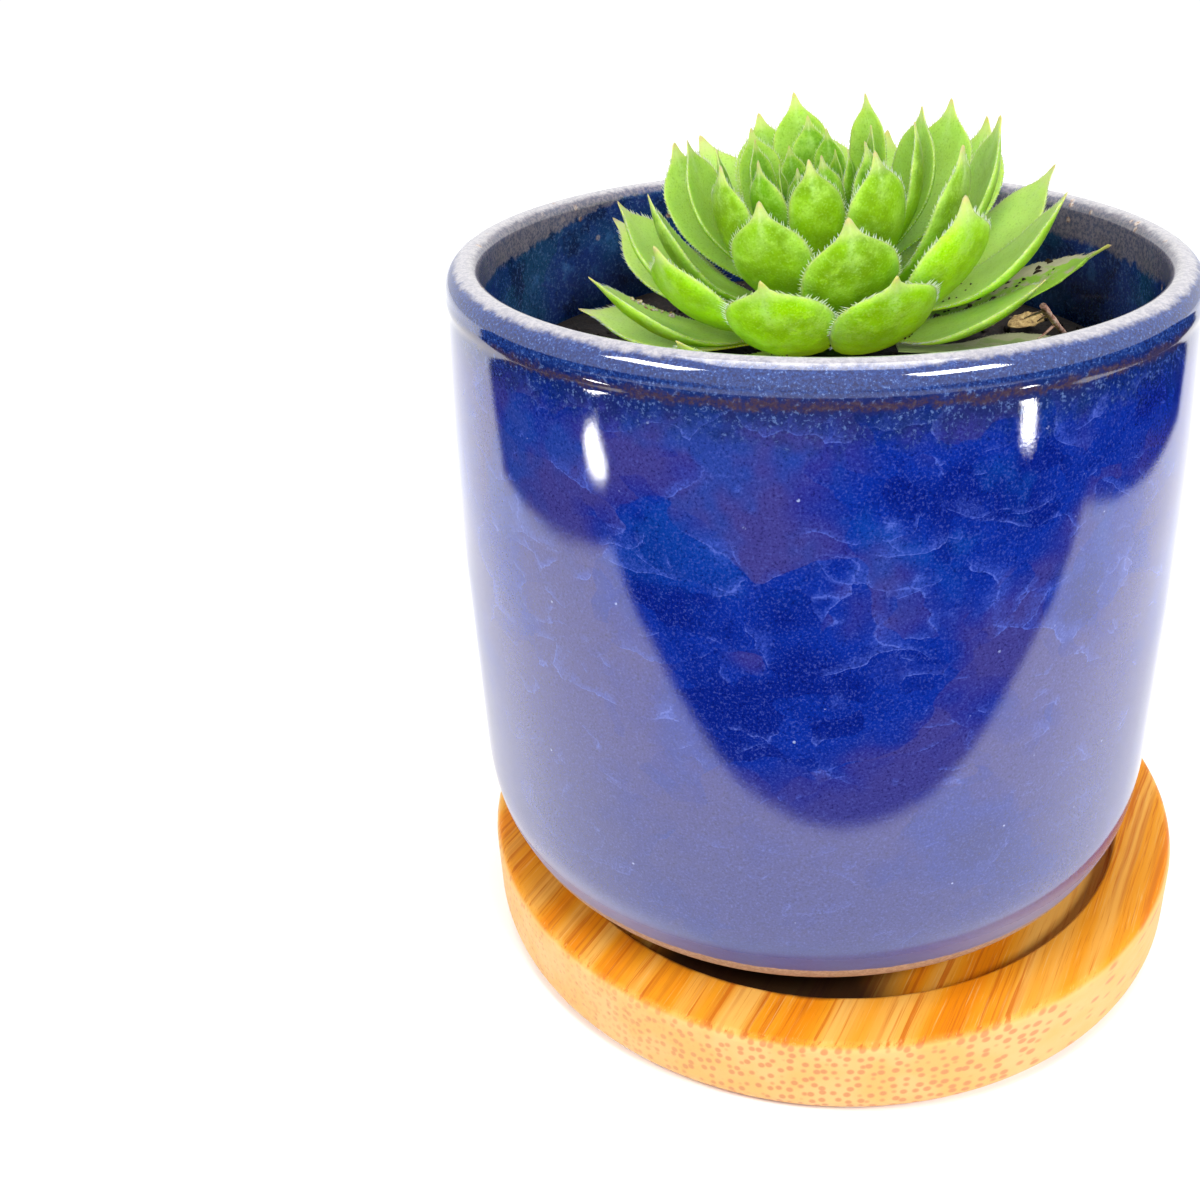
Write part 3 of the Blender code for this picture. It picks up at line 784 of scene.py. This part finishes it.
def littered(kind, inner, alongs, acrosses, count, sizes):
    """A copy of the straight leaf with crumbs of this kind lying on one of its faces."""
    chance = random.Random(count)
    crumb = lump(count)
    keep(crumb.data, kind, 1)
    crumbs = []
    for _ in range(count):
        along, across = chance.uniform(*alongs), chance.uniform(*acrosses)
        seat = smooth(DEPTH, along) * LEAF_DEEP * math.sqrt(1 - across ** 2) * (1 if inner else -1)
        size = chance.uniform(*sizes)
        place = (along * LEAF_LENGTH, across * smooth(BLADE, along) * LEAF_HALF, seat)
        keep(crumb.data, "seat", seat)
        crumbs += copies(crumb, [(place, any_turn(chance), (size, size * 0.8, size * 0.6))])
    bpy.data.objects.remove(crumb)
    return join(*copies(leaf_model, [((0, 0, 0), (0, 0, 0), (1, 1, 1))]), crumbs)


leaf_model = add_fringe(straight_leaf())
print("the straight leaf has", len(leaf_model.data.polygons), "faces")

# %% [markdown]
# ## How the rosette grows
# Each new leaf stands about 137.5 degrees round from the one before, a little higher on the
# short stem and more upright. A few numbers along the way from the oldest leaf to the youngest
# say how far the tips reach, how high they stand and how steep the leaves are. Each leaf's
# section is bent round the rosette's axis, so every leaf lies in the cup of the older ones.

# %% Growth tables
ROSETTE_LEAN = math.radians(10.5)
LEAN_TOWARDS = math.radians(-145)
STEM_RADIUS = 3.1 * MM
STEM_HEIGHT = 10 * MM
LOWEST_LEAF, HIGHEST_LEAF = 1.2, 9.5  # millimetres up the stem
OFF_STEM = 0.3 * MM
ROSETTE_OFF = (1.8 * MM, 2.2 * MM, -12 * MM)  # from the pot's axis and rim
HANDLE_SHARE = 0.42  # of the way from a leaf's start to its tip
BASE_SHARE = 0.4  # of the distance from the rosette's axis
GOLDEN_ANGLE = 137.5
FIRST_AZIMUTH = -173.5
OLDEST, YOUNGEST = -4, 49
# Each table holds (leaf number, value) pairs: millimetres, or degrees for the slopes.
TIP_RADIUS = ((-4, 30), (0, 26.6), (4, 26.2), (8, 25), (12, 23.2), (16, 20.8), (20, 18.8),
              (24, 15.2), (28, 12.6), (32, 9.8), (40, 5.8), (49, 2.2))
TIP_HEIGHT = ((-4, 7.6), (0, 9.6), (4, 13.8), (8, 16.3), (12, 18), (20, 20.8), (28, 23),
              (32, 23.7), (40, 22.6), (49, 20))
START_SLOPE = ((-4, 6), (4, 8), (12, 12), (20, 20), (28, 34), (36, 50), (49, 74))
TIP_SLOPE = ((-4, 20), (0, 34), (4, 50), (8, 60), (12, 72), (20, 84), (28, 92), (49, 90))
HALF_WIDTH = ((-4, 3.8), (0, 4.9), (8, 5.2), (14, 5.2), (20, 4.8), (24, 4.2), (28, 3.3), (34, 2.6),
              (42, 1.9), (49, 1.2))
THICKNESS = ((-4, 0.9), (0, 1.3), (14, 1.5), (24, 1.3), (32, 1), (42, 0.7), (49, 0.5))
# Leaves that grew a little off the pattern: (further out, higher up, turned by degrees)
ODD_LEAVES = {4: (1, 0, 0), 6: (-1.5, 1, -3), 9: (1, -0.6, 0), 10: (0, 2.5, 0),
              11: (-1.8, -0.6, 0), 12: (1.8, 0, 0), 13: (-2, 0.6, 0), 14: (0.6, 1.6, 0),
              17: (-0.6, 2, 0), 18: (-0.5, 1.4, 0), 19: (-0.6, 0, 3), 20: (2.4, 0, -15),
              21: (-1.4, 0, 0), 22: (0, 1, 0), 23: (0, 0.7, 0), 24: (0, 0, 6),
              25: (-0.8, 0.4, 5), 26: (-1, 1.2, 0), 27: (0, 1.2, 2), 28: (0, 1.6, 18),
              29: (-0.8, 0.6, 8), 31: (-0.5, -0.8, -3), 32: (0, 0, 8), 33: (0, 1.3, 0),
              36: (0, 0, -8)}
rosette_root = Vector((*POT_AXIS, RIM_Z)) + Vector(ROSETTE_OFF)
lean_axis = Vector((-math.sin(LEAN_TOWARDS), math.cos(LEAN_TOWARDS), 0))
rosette = Matrix.Translation(rosette_root) @ Quaternion(lean_axis, ROSETTE_LEAN).to_matrix().to_4x4()


def grown(table, number):
    return float(np.interp(number, *zip(*table)))


def middle_line(start, tip, start_slope, tip_slope):
    """The four handles of a leaf's middle line, as (radius, height) with slopes in degrees."""
    start, tip = np.array(start), np.array(tip)
    reach = HANDLE_SHARE * np.linalg.norm(tip - start)
    first, last = math.radians(start_slope), math.radians(tip_slope)
    leave = start + reach * np.array((math.cos(first), math.sin(first)))
    arrive = tip - reach * np.array((math.cos(last), math.sin(last)))
    return np.array((start, leave, arrive, tip))


def rosette_leaf(number):
    """(middle line, half width at the base, half width, thickness, place) of one leaf."""
    age = (number - OLDEST) / (YOUNGEST - OLDEST)
    height = (LOWEST_LEAF + (HIGHEST_LEAF - LOWEST_LEAF) * age) * MM
    further, higher, turned = ODD_LEAVES.get(number, (0, 0, 0))
    stem_radius = STEM_RADIUS * math.sqrt(max(0, 1 - (height / STEM_HEIGHT) ** 2))
    start = (stem_radius + OFF_STEM, height)
    tip = ((grown(TIP_RADIUS, number) + further) * MM, (grown(TIP_HEIGHT, number) + higher) * MM)
    line = middle_line(start, tip, grown(START_SLOPE, number), grown(TIP_SLOPE, number))
    azimuth = math.radians(FIRST_AZIMUTH + number * GOLDEN_ANGLE + turned)
    return (line, BASE_SHARE * start[0], grown(HALF_WIDTH, number) * MM, grown(THICKNESS, number) * MM,
            rosette @ Matrix.Rotation(azimuth, 4, "Z"))


# %% [markdown]
# ## Bending a copy
# The straight leaf's length is laid along the middle line, its width is bent round the axis,
# and its thickness stands square to the line. The copy keeps three attributes for its finish:
# how far along the leaf a point lies, how far across, and whether it is on the inner face.
# A crumb is lifted as a whole with the face that it lies on, so that it keeps its shape.

# %% Bend the straight leaf
INNER_SHARE, BACK_SHARE = 0.14, 0.86  # of the thickness, on either side of the middle line
RIPPLE_WAVES = 9
HOOK_FROM, SWEEP_FROM = 0.85, 0.3  # along the leaf


def bend_leaf(name, line, base_half, half, thick, place, sweep=0, hook=0, ripple=0, phase=0,
              blade=BLADE, model=None):
    mesh = (model or leaf_model).data.copy()
    count = len(mesh.vertices)
    flat = np.empty(count * 3)
    mesh.vertices.foreach_get("co", flat)
    x, y, z = flat.reshape(-1, 3).T
    along = np.clip(x / LEAF_LENGTH, 0, 1)
    widths = np.array([width(a) for a in along])
    across = y / (widths * LEAF_HALF)
    t = along[:, None]
    a, b, c, d = line
    spot = a * (1 - t) ** 3 + 3 * b * (1 - t) ** 2 * t + 3 * c * (1 - t) * t ** 2 + d * t ** 3
    run = (b - a) * (1 - t) ** 2 + 2 * (c - b) * (1 - t) * t + (d - c) * t ** 2
    run /= np.linalg.norm(run, axis=1)[:, None]
    up = np.column_stack((-run[:, 1], run[:, 0]))
    seat = z.copy()
    if "seat" in mesh.attributes:
        mesh.attributes["seat"].data.foreach_get("value", seat)
        seat = np.where(seat != 0, seat, z)
    above = seat / LEAF_DEEP * np.where(seat > 0, INNER_SHARE, BACK_SHARE) * thick + (z - seat)
    above += ripple * np.sin(along * RIPPLE_WAVES + phase + 2 * np.sign(y)) * np.clip(abs(across), 0, 1) ** 2
    above += hook * np.clip((along - HOOK_FROM) / (1 - HOOK_FROM), 0, 1) ** 2
    stalk = np.interp(along, (0, 0.3, 0.72), (1, 0.62, 0)) * base_half
    wider = np.clip(np.array([smooth(blade, a) for a in along]) / widths, 0.4, 2)
    sideways = y / LEAF_HALF * half * wider + np.clip(across, -1, 1) * stalk
    sideways += sweep * np.clip(along - SWEEP_FROM, 0, 1) ** 2
    spot = spot + up * above[:, None]
    turn = sideways / np.maximum(spot[:, 0], 0.5 * MM)
    points = np.column_stack((spot[:, 0] * np.cos(turn), spot[:, 0] * np.sin(turn), spot[:, 1]))
    matrix = np.array(place)
    mesh.vertices.foreach_set("co", (points @ matrix[:3, :3].T + matrix[:3, 3]).ravel())
    keep(mesh, "along", along)
    keep(mesh, "across", np.clip(across, -1.2, 1.2))
    keep(mesh, "inner", z > 0)
    mesh.update()
    return new_object(name, mesh)


# %% [markdown]
# ## Leaf flesh
# Fresh leaves are lime green and yellower towards the base. Their backs
# are vivid and their inner faces paler and greyer, with a thin frosty bloom towards the point.
# The middle leaves are painted darker than the outer ones, and the inner leaves darker still,
# most of all at their bases: painted shade deep in the rosette.
# The margins carry a pale line, a faint keel runs down from the point, and the point itself
# dries to a pinkish cream. The flesh lets a little light through, so the shader has some
# subsurface scattering. Hairs and crumbs are told apart by attributes of their own.

# %% Leaf finish


def toned(colour, share):
    return tuple(c * share for c in colour)


def leaf_finish(name, back, base, inside):
    leaf = Finish(name, Specular_IOR_Level=0.35)
    leaf.set(Subsurface_Weight=0.75, Subsurface_Radius=(1, 1.4, 0.1), Subsurface_Scale=1.5 * MM)
    at = leaf.place()
    along, across = leaf.attribute("along"), leaf.apart(leaf.attribute("across"), 0)
    clouds = leaf.noise(at, 4)
    flesh = leaf.noise(at, 0.9, detail=3, rough=0.6)
    skin = leaf.noise(at, 0.22)
    frost = leaf.noise(at, 1.9, detail=4, rough=0.6)
    lighter = tuple(c * 1.25 + part for c, part in zip(back, (0.05, 0.04, 0.015)))
    peat = leaf.vary(flesh, 0.4, 0.6, (0.012, 0.008, 0.005), (0.06, 0.035, 0.015))
    chaff = leaf.vary(flesh, 0.4, 0.6, (0.28, 0.15, 0.06), (0.78, 0.68, 0.44))
    colour = leaf.layers(
        leaf.vary(clouds, 0.35, 0.65, toned(back, 0.68), back),
        (lighter, (flesh, 0.5, 0.78, 0.45)),
        (base, (along, 0.7, 0.25, 0.9)),
        (leaf.vary(clouds, 0.3, 0.7, inside, toned(inside, 0.82)), leaf.attribute("inner"), 0.85),
        ((0.42, 0.64, 0.14), (across, 0.7, 1), (along, 0.35, 0.8, 0.35)),
        ((0.44, 0.68, 0.12), (frost, 0.42, 0.72), (along, 0.45, 0.9, 0.5)),
        ((0.46, 0.64, 0.24), (across, 0.3, 0), (along, 0.76, 0.93), (flesh, 0.35, 0.6, 1, 0.2), 0.5),
        ((0.5, 0.68, 0.25), (skin, 0.54, 0.7), (along, 0.3, 0.9, 0.2, 0.05)),
        (toned(back, 0.45), (skin, 0.45, 0.3, 0.35)),
        ((0.58, 0.74, 0.32), (across, 0.95, 0.99), (along, 0.2, 0.45), (flesh, 0.35, 0.65, 0.6, 0.15)),
        ((0.55, 0.64, 0.28), (along, 0.9, 0.96), 0.5),
        ((0.55, 0.34, 0.2), (along, 0.965, 0.995), 0.6),
        ((0.62, 0.79, 0.36), leaf.attribute("hair")),
        (peat, leaf.attribute("peat")),
        (chaff, leaf.attribute("chaff")))
    pits = leaf.bump(skin, 0.03, 0.4, under=leaf.bump(flesh, 0.1, 0.35))
    return leaf.set(Base_Color=colour, Roughness=leaf.rise(flesh, 0.3, 0.7, 0.56, 0.42), Normal=pits)


# The middle and inner finishes are darker copies of the outer one: painted shade, deepest at the inner leaves' bases.
FINISHES = {
    "leaf_outer": leaf_finish("outer_leaf_flesh", (0.315, 0.63, 0.002), (0.58, 0.78, 0.004), (0.54, 0.8, 0.18)),
    "leaf_middle": leaf_finish("middle_leaf_flesh_painted_shade", (0.215, 0.42, 0.003), (0.28, 0.5, 0.006), (0.36, 0.6, 0.08)),
    "leaf_inner": leaf_finish("inner_leaf_flesh_painted_shade", (0.15, 0.35, 0.004), (0.11, 0.29, 0.006), (0.17, 0.37, 0.02)),
}

# %% Fifty fresh leaves
FIRST_MIDDLE, FIRST_INNER = 17, 34
BLUNT_LEAVES = (6, 11)
PLUMP = {6: 1.35, 11: 1.45}
# What lies on some leaves: kind, on the inner face, from and to along, from and to across, how many, sizes
LITTER = {11: ("peat", False, (0.48, 0.6), (-0.92, 0.92), 9, (0.1, 0.2)),
          6: ("peat", False, (0.44, 0.6), (0.3, 0.95), 8, (0.1, 0.26)),
          9: ("peat", True, (0.25, 0.48), (-0.85, 0.85), 14, (0.1, 0.24)),
          8: ("chaff", True, (0.54, 0.76), (-0.98, -0.6), 16, (0.22, 0.52)),
          16: ("chaff", True, (0.45, 0.7), (0.8, 0.97), 10, (0.15, 0.36))}
leaf_box_slip = 0
for number in range(YOUNGEST + 1):
    line, base_half, half, thick, place = rosette_leaf(number)
    group = "leaf_outer" if number < FIRST_MIDDLE else "leaf_middle" if number < FIRST_INNER else "leaf_inner"
    node = f"leaf_{number + 1:02d}"
    size = half / LEAF_HALF
    model = littered(*LITTER[number]) if number in LITTER else None
    leaf = bend_leaf(
        "fresh_" + node, line, base_half, half, thick * PLUMP.get(number, 1), place,
        sweep=rng.uniform(-1, 1) * MM * size, hook=rng.uniform(-0.4, 0.5) * MM * size,
        ripple=rng.uniform(0.02, 0.16) * MM * size, phase=rng.uniform(0, 6.28),
        blade=BLUNT_BLADE if number in BLUNT_LEAVES else BLADE, model=model)
    if model:
        bpy.data.objects.remove(model)
    finish_piece(leaf, FINISHES[group], node)
    points = np.array([v.co for v in leaf.data.vertices])
    slip = max(np.abs(points.min(0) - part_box(node)[0]).max(), np.abs(points.max(0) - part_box(node)[1]).max())
    leaf_box_slip = max(leaf_box_slip, slip)
print("no leaf's box is further than", round(leaf_box_slip / MM, 2), "mm from its CAD solid's")

# %% [markdown]
# ## The old leaf, the dead leaf and the litter
# The oldest leaves wither where they are. One still stands, half dried and dusted with peat, and
# one lies flat on the soil. A knobbly bit of dry root and a curled flake of an older leaf lie
# beside them. The leaves are bent from the same straight leaf and then crumpled, the root is a
# bevelled curve whose thickness changes along it, and the flake is a flattened, crumpled ball.

# %% Dry leaves


def dry_finish(name, fresh, dry, dark, dryness):
    leaf = Finish(name, Roughness=0.68, Specular_IOR_Level=0.3)
    at = leaf.place()
    patches = leaf.noise(at, 2.2, detail=4, rough=0.65)
    specks = leaf.noise(at, 0.45, detail=3, rough=0.7)
    level = leaf.add(patches, leaf.times(leaf.attribute("across"), 0.18))
    colour = leaf.layers(
        leaf.vary(level, dryness - 0.06, dryness + 0.06, fresh, dry),
        (dark, (specks, 0.62, 0.74, 0.9)),
        ((0.36, 0.2, 0.1), (leaf.attribute("along"), 0.9, 1, 0.6)),
        ((0.014, 0.009, 0.006), leaf.attribute("peat")))
    return leaf.set(Base_Color=colour, Normal=leaf.bump(patches, 0.3, 0.7))


line, base_half, half, thick, place = rosette_leaf(OLDEST)
peaty = littered("peat", True, (0.28, 0.8), (-0.95, 0.95), 60, (0.12, 0.46))
old_leaf = bend_leaf(
    "old_half_dry_leaf", line, base_half, half, thick, place, ripple=0.35 * MM, phase=1, model=peaty)
bpy.data.objects.remove(peaty)
displace(old_leaf, 1.6 * MM, 2, 0.5 * MM)
half_dry = dry_finish("half_dry_leaf", (0.24, 0.44, 0.04), (0.4, 0.38, 0.24), (0.05, 0.035, 0.02), 0.5)
finish_piece(old_leaf, half_dry, "old_leaf")

dead_line = middle_line((9 * MM, -11.9 * MM), (29 * MM, -11.2 * MM), -3, 8)
on_axis = Matrix.Translation((*POT_AXIS, RIM_Z)) @ Matrix.Rotation(math.radians(5), 4, "Z")
dead_leaf = bend_leaf("withered_leaf", dead_line, 1 * MM, 3.4 * MM, 0.7 * MM, on_axis, ripple=0.2 * MM)
displace(dead_leaf, 2 * MM, 2, 0.35 * MM)
withered = dry_finish("withered_leaf", (0.36, 0.48, 0.16), (0.5, 0.52, 0.28), (0.12, 0.08, 0.04), 0.56)
finish_piece(dead_leaf, withered, "dead_leaf")

# %% Twig
# Along each path: x, y and z from the pot's axis and rim, and the radius, all in millimetres.
TWIG_PATH = ((24.3, 1.6, -7.4, 0.5), (24.9, 2.2, -8.2, 0.62), (25.5, 3, -9, 0.42), (26.1, 3.8, -9.8, 0.55),
             (26.8, 4.6, -10.7, 0.4), (27.5, 5.4, -11.6, 0.5), (28.2, 6.2, -12.5, 0.45))
TWIG_SLIMMED = 0.72
ROOTLET_PATHS = (((25.4, 2.9, -8.9, 0.2), (25, 4.2, -9.4, 0.16), (24.6, 5.4, -10.4, 0.08)),
                 ((26.4, 4.2, -10.2, 0.2), (25.4, 3.4, -11, 0.15), (24.4, 3, -11.6, 0.07)),
                 ((24.8, 2.2, -8.1, 0.2), (23.8, 2.6, -8.6, 0.14), (22.8, 3.4, -9.4, 0.07)))


def woody(name, path, slimmed=1):
    curve = bpy.data.curves.new(name, "CURVE")
    curve.dimensions = "3D"
    curve.bevel_depth = 1 * MM
    curve.bevel_resolution = 3
    curve.use_fill_caps = True
    spline = curve.splines.new("NURBS")
    spline.points.add(len(path) - 1)
    spline.use_endpoint_u = True
    spline.order_u = 3
    for point, (x, y, z, radius) in zip(spline.points, path):
        point.co = (POT_AXIS[0] + x * MM, POT_AXIS[1] + y * MM, RIM_Z + z * MM, 1)
        point.radius = radius * slimmed
    select(new_object(name, curve))
    bpy.ops.object.convert(target="MESH")
    return bpy.context.object


twig = join(woody("dry_root", TWIG_PATH, TWIG_SLIMMED), [woody("rootlet", path) for path in ROOTLET_PATHS])
bark = Finish("dry_root", Roughness=0.8)
knobs = bark.noise(bark.place(), 0.6, detail=3, rough=0.6)
bark_colour = bark.ramp(knobs, (0.35, (0.26, 0.11, 0.07)), (0.5, (0.58, 0.34, 0.25)), (0.68, (0.76, 0.6, 0.5)))
finish_piece(twig, bark.set(Base_Color=bark_colour, Normal=bark.bump(knobs, 0.2, 0.8)), "twig")

# %% Flake
FLAKE_HALF = (2.5 * MM, 1.5 * MM, 0.4 * MM)
FLAKE_TURN = (0.1, -0.15, 0.6)
flake_low, flake_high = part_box("dry_flake")
deselect()
bpy.ops.mesh.primitive_uv_sphere_add(
    segments=28, ring_count=14, location=(flake_low + flake_high) / 2, rotation=FLAKE_TURN, scale=FLAKE_HALF)
flake = settle(bpy.context.object, 60)
flake.name = "curled_flake"
displace(flake, 0.9 * MM, 2, 0.7 * MM)
husk = Finish("dry_flake", Roughness=0.85)
folds = husk.noise(husk.place(), 0.7, detail=4, rough=0.7)
husk_colour = husk.ramp(folds, (0.35, (0.12, 0.07, 0.03)), (0.52, (0.42, 0.28, 0.1)), (0.7, (0.62, 0.48, 0.22)))
finish_piece(flake, husk.set(Base_Color=husk_colour, Normal=husk.bump(folds, 0.2)), "dry_flake")

# %% [markdown]
# ## The stem
# The stem hides under the leaves, so its CAD solid stays and only gets a finish: green, as it
# shows between the youngest leaves, with the paler scars that fallen leaves leave.

# %% Stem finish
pith = Finish("leaf_scarred_stem", Roughness=0.6)
scars = pith.noise(pith.place(stretch=(1, 1, 3)), 0.8, detail=3)
pith_colour = pith.ramp(scars, (0.35, (0.07, 0.15, 0.01)), (0.6, (0.13, 0.3, 0.02)), (0.8, (0.3, 0.42, 0.1)))
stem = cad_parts["stem"]
stem.data.materials.clear()
stem.data.materials.append(pith.set(Base_Color=pith_colour, Normal=pith.bump(scars, 0.2)))

# %% [markdown]
# ## Floor and light
# The set is a white sheet under soft light from all round, so bright that the sheet has no
# edge or tone. The glossy pot mirrors what lies in front of it: the sheet ends close to the
# pot there, and beyond it the room is dark. Dark cards that only reflections can see stand
# for the room, and two small bright cards for its windows. The floor itself stays pale all
# round. Leaves pass on so much light that they need less of it than the pot and the saucer,
# so light linking gives them lamps of their own.

# %% Floor
FLOOR_SIZE = 1.6
FLOOR_DROP = 0.02 * MM
deselect()
bpy.ops.mesh.primitive_plane_add(size=FLOOR_SIZE, location=(0, 0, -FLOOR_DROP))
floor = bpy.context.object
floor.name = "floor"
paper = Finish("white_sheet", Roughness=0.9, Specular_IOR_Level=0.1)
paper_tone = paper.mix(paper.noise(paper.place(), 30), (0.9, 0.9, 0.9), (0.93, 0.93, 0.93))
floor.data.materials.append(paper.set(Base_Color=paper_tone))

# %% Cards for the reflections
UNSEEN_BY = ("visible_camera", "visible_diffuse", "visible_shadow", "visible_transmission", "visible_volume_scatter")
BLACK, WHITE = (0, 0, 0, 1), (1, 1, 1, 1)
FAR = 3000
CARD_Z = 0.3
SHEET_LEFT, SHEET_RIGHT = (-145, -105.2, CARD_Z), (190, -50.6, CARD_Z)  # ends of the sheet's front edge
FAR_LEFT, FAR_RIGHT = (-FAR, -FAR, CARD_Z), (FAR, -FAR, CARD_Z)
dark = Finish("dark_room", Base_Color=(0.004, 0.004, 0.005, 1), Roughness=1, Specular_IOR_Level=0).material
glint = Finish("bright_glint", Base_Color=BLACK, Emission_Color=WHITE, Emission_Strength=40).material
for name, material, corners in (
        ("dark_front", dark, (SHEET_LEFT, FAR_LEFT, FAR_RIGHT, SHEET_RIGHT)),
        ("dark_left", dark, (SHEET_LEFT, (-195, 20, CARD_Z), (-420, 160, CARD_Z), (-FAR, 900, CARD_Z), FAR_LEFT)),
        ("dark_right", dark, (SHEET_RIGHT, FAR_RIGHT, (FAR, 1500, CARD_Z), (300, 260, CARD_Z), (182, 110, CARD_Z))),
        ("left_glint", glint, ((-172, -90, 24), (-176, -99, 13), (-170, -112, 11), (-163, -110, 15), (-166, -99, 27))),
        ("right_glint", glint, ((156, -118, 25), (162, -109, 24), (163, -108, 37), (157, -114, 38)))):
    mesh = bpy.data.meshes.new(name)
    mesh.from_pydata([[v * MM for v in corner] for corner in corners], [], [range(len(corners))])
    mesh.materials.append(material)
    card = new_object(name, mesh)
    for sight in UNSEEN_BY:
        setattr(card, sight, False)

# %% Lamps
LAMP_SIZE, SOFTBOX_SIZE, FILL_SIZE = (970, 540), (1500, 1500), (900, 500)
LEFT, RIGHT, ABOVE, ABOVE_LEAVES = (-1458, -842, 1891), (1339, -1166, 1799), (0, 300, 2400), (0, -300, 2400)
POT_MIDDLE, PLANT_FOOT = (0, 0, 60), (0, 0, 80)


def softbox(name, place, aim, size, power):
    """A rectangular lamp. Places and sizes are in millimetres, and the power in watts."""
    deselect()
    bpy.ops.object.light_add(type="AREA", location=[v * MM for v in place])
    light = bpy.context.object
    light.name = name
    light.data.shape = "RECTANGLE"
    light.data.size, light.data.size_y = [v * MM for v in size]
    light.data.energy = power
    towards = Vector([v * MM for v in aim]) - light.location
    light.rotation_euler = towards.to_track_quat("-Z", "Y").to_euler()
    return light


def light_only(light, pieces, shaded_by=None):
    """The lamp lights these pieces only, and only shaded_by, when given, casts shadows in it."""
    for group, linked in (("receiver_collection", pieces), ("blocker_collection", shaded_by)):
        if linked:
            chosen = bpy.data.collections.new(light.name + "_" + group)
            for piece in linked:
                chosen.objects.link(piece)
            setattr(light.light_linking, group, chosen)


bpy.data.objects.remove(leaf_model)
shown = [piece for piece in bpy.context.scene.objects if piece.type == "MESH"]
leaves = [piece for piece in shown if "leaf" in piece.name]
others = [piece for piece in shown if "leaf" not in piece.name]
for name, place, size, power, lit in (
        ("left_lamp", LEFT, LAMP_SIZE, 40, others),
        ("right_lamp", RIGHT, LAMP_SIZE, 58, others),
        ("top_softbox", ABOVE, SOFTBOX_SIZE, 32, others),
        ("left_leaf_lamp", LEFT, LAMP_SIZE, 4, leaves),
        ("right_leaf_lamp", RIGHT, LAMP_SIZE, 4, leaves),
        ("top_leaf_lamp", ABOVE_LEAVES, SOFTBOX_SIZE, 18, leaves)):
    light_only(softbox(name, place, POT_MIDDLE, size, power), lit)
for name, place, power in (("front_fill", (-60, -1400, 800), 21), ("low_fill", (-60, -1550, 90), 15)):
    lamp = softbox(name, place, PLANT_FOOT, FILL_SIZE, power)
    lamp.visible_glossy = False
    light_only(lamp, leaves, leaves)

# %% [markdown]
# ## The room
# The white room is as bright as the sheet where it is seen or mirrored, and lights the pieces
# with less than half of that, so that the lamps can model them.

# %% World
SEEN, LIGHTING = 1.05, 0.45
world = bpy.data.worlds.new("white_room")
bpy.context.scene.world = world
world.use_nodes = True
sky = world.node_tree.nodes["Background"]
sky.inputs["Color"].default_value = WHITE
ray = world.node_tree.nodes.new("ShaderNodeLightPath")
strength = world.node_tree.nodes.new("ShaderNodeMapRange")
strength.inputs["To Min"].default_value = SEEN
strength.inputs["To Max"].default_value = LIGHTING
world.node_tree.links.new(ray.outputs["Is Diffuse Ray"], strength.inputs["Value"])
world.node_tree.links.new(strength.outputs["Result"], sky.inputs["Strength"])
print(len(leaves), "pieces have the leaves' lamps, and", len(others), "the others")
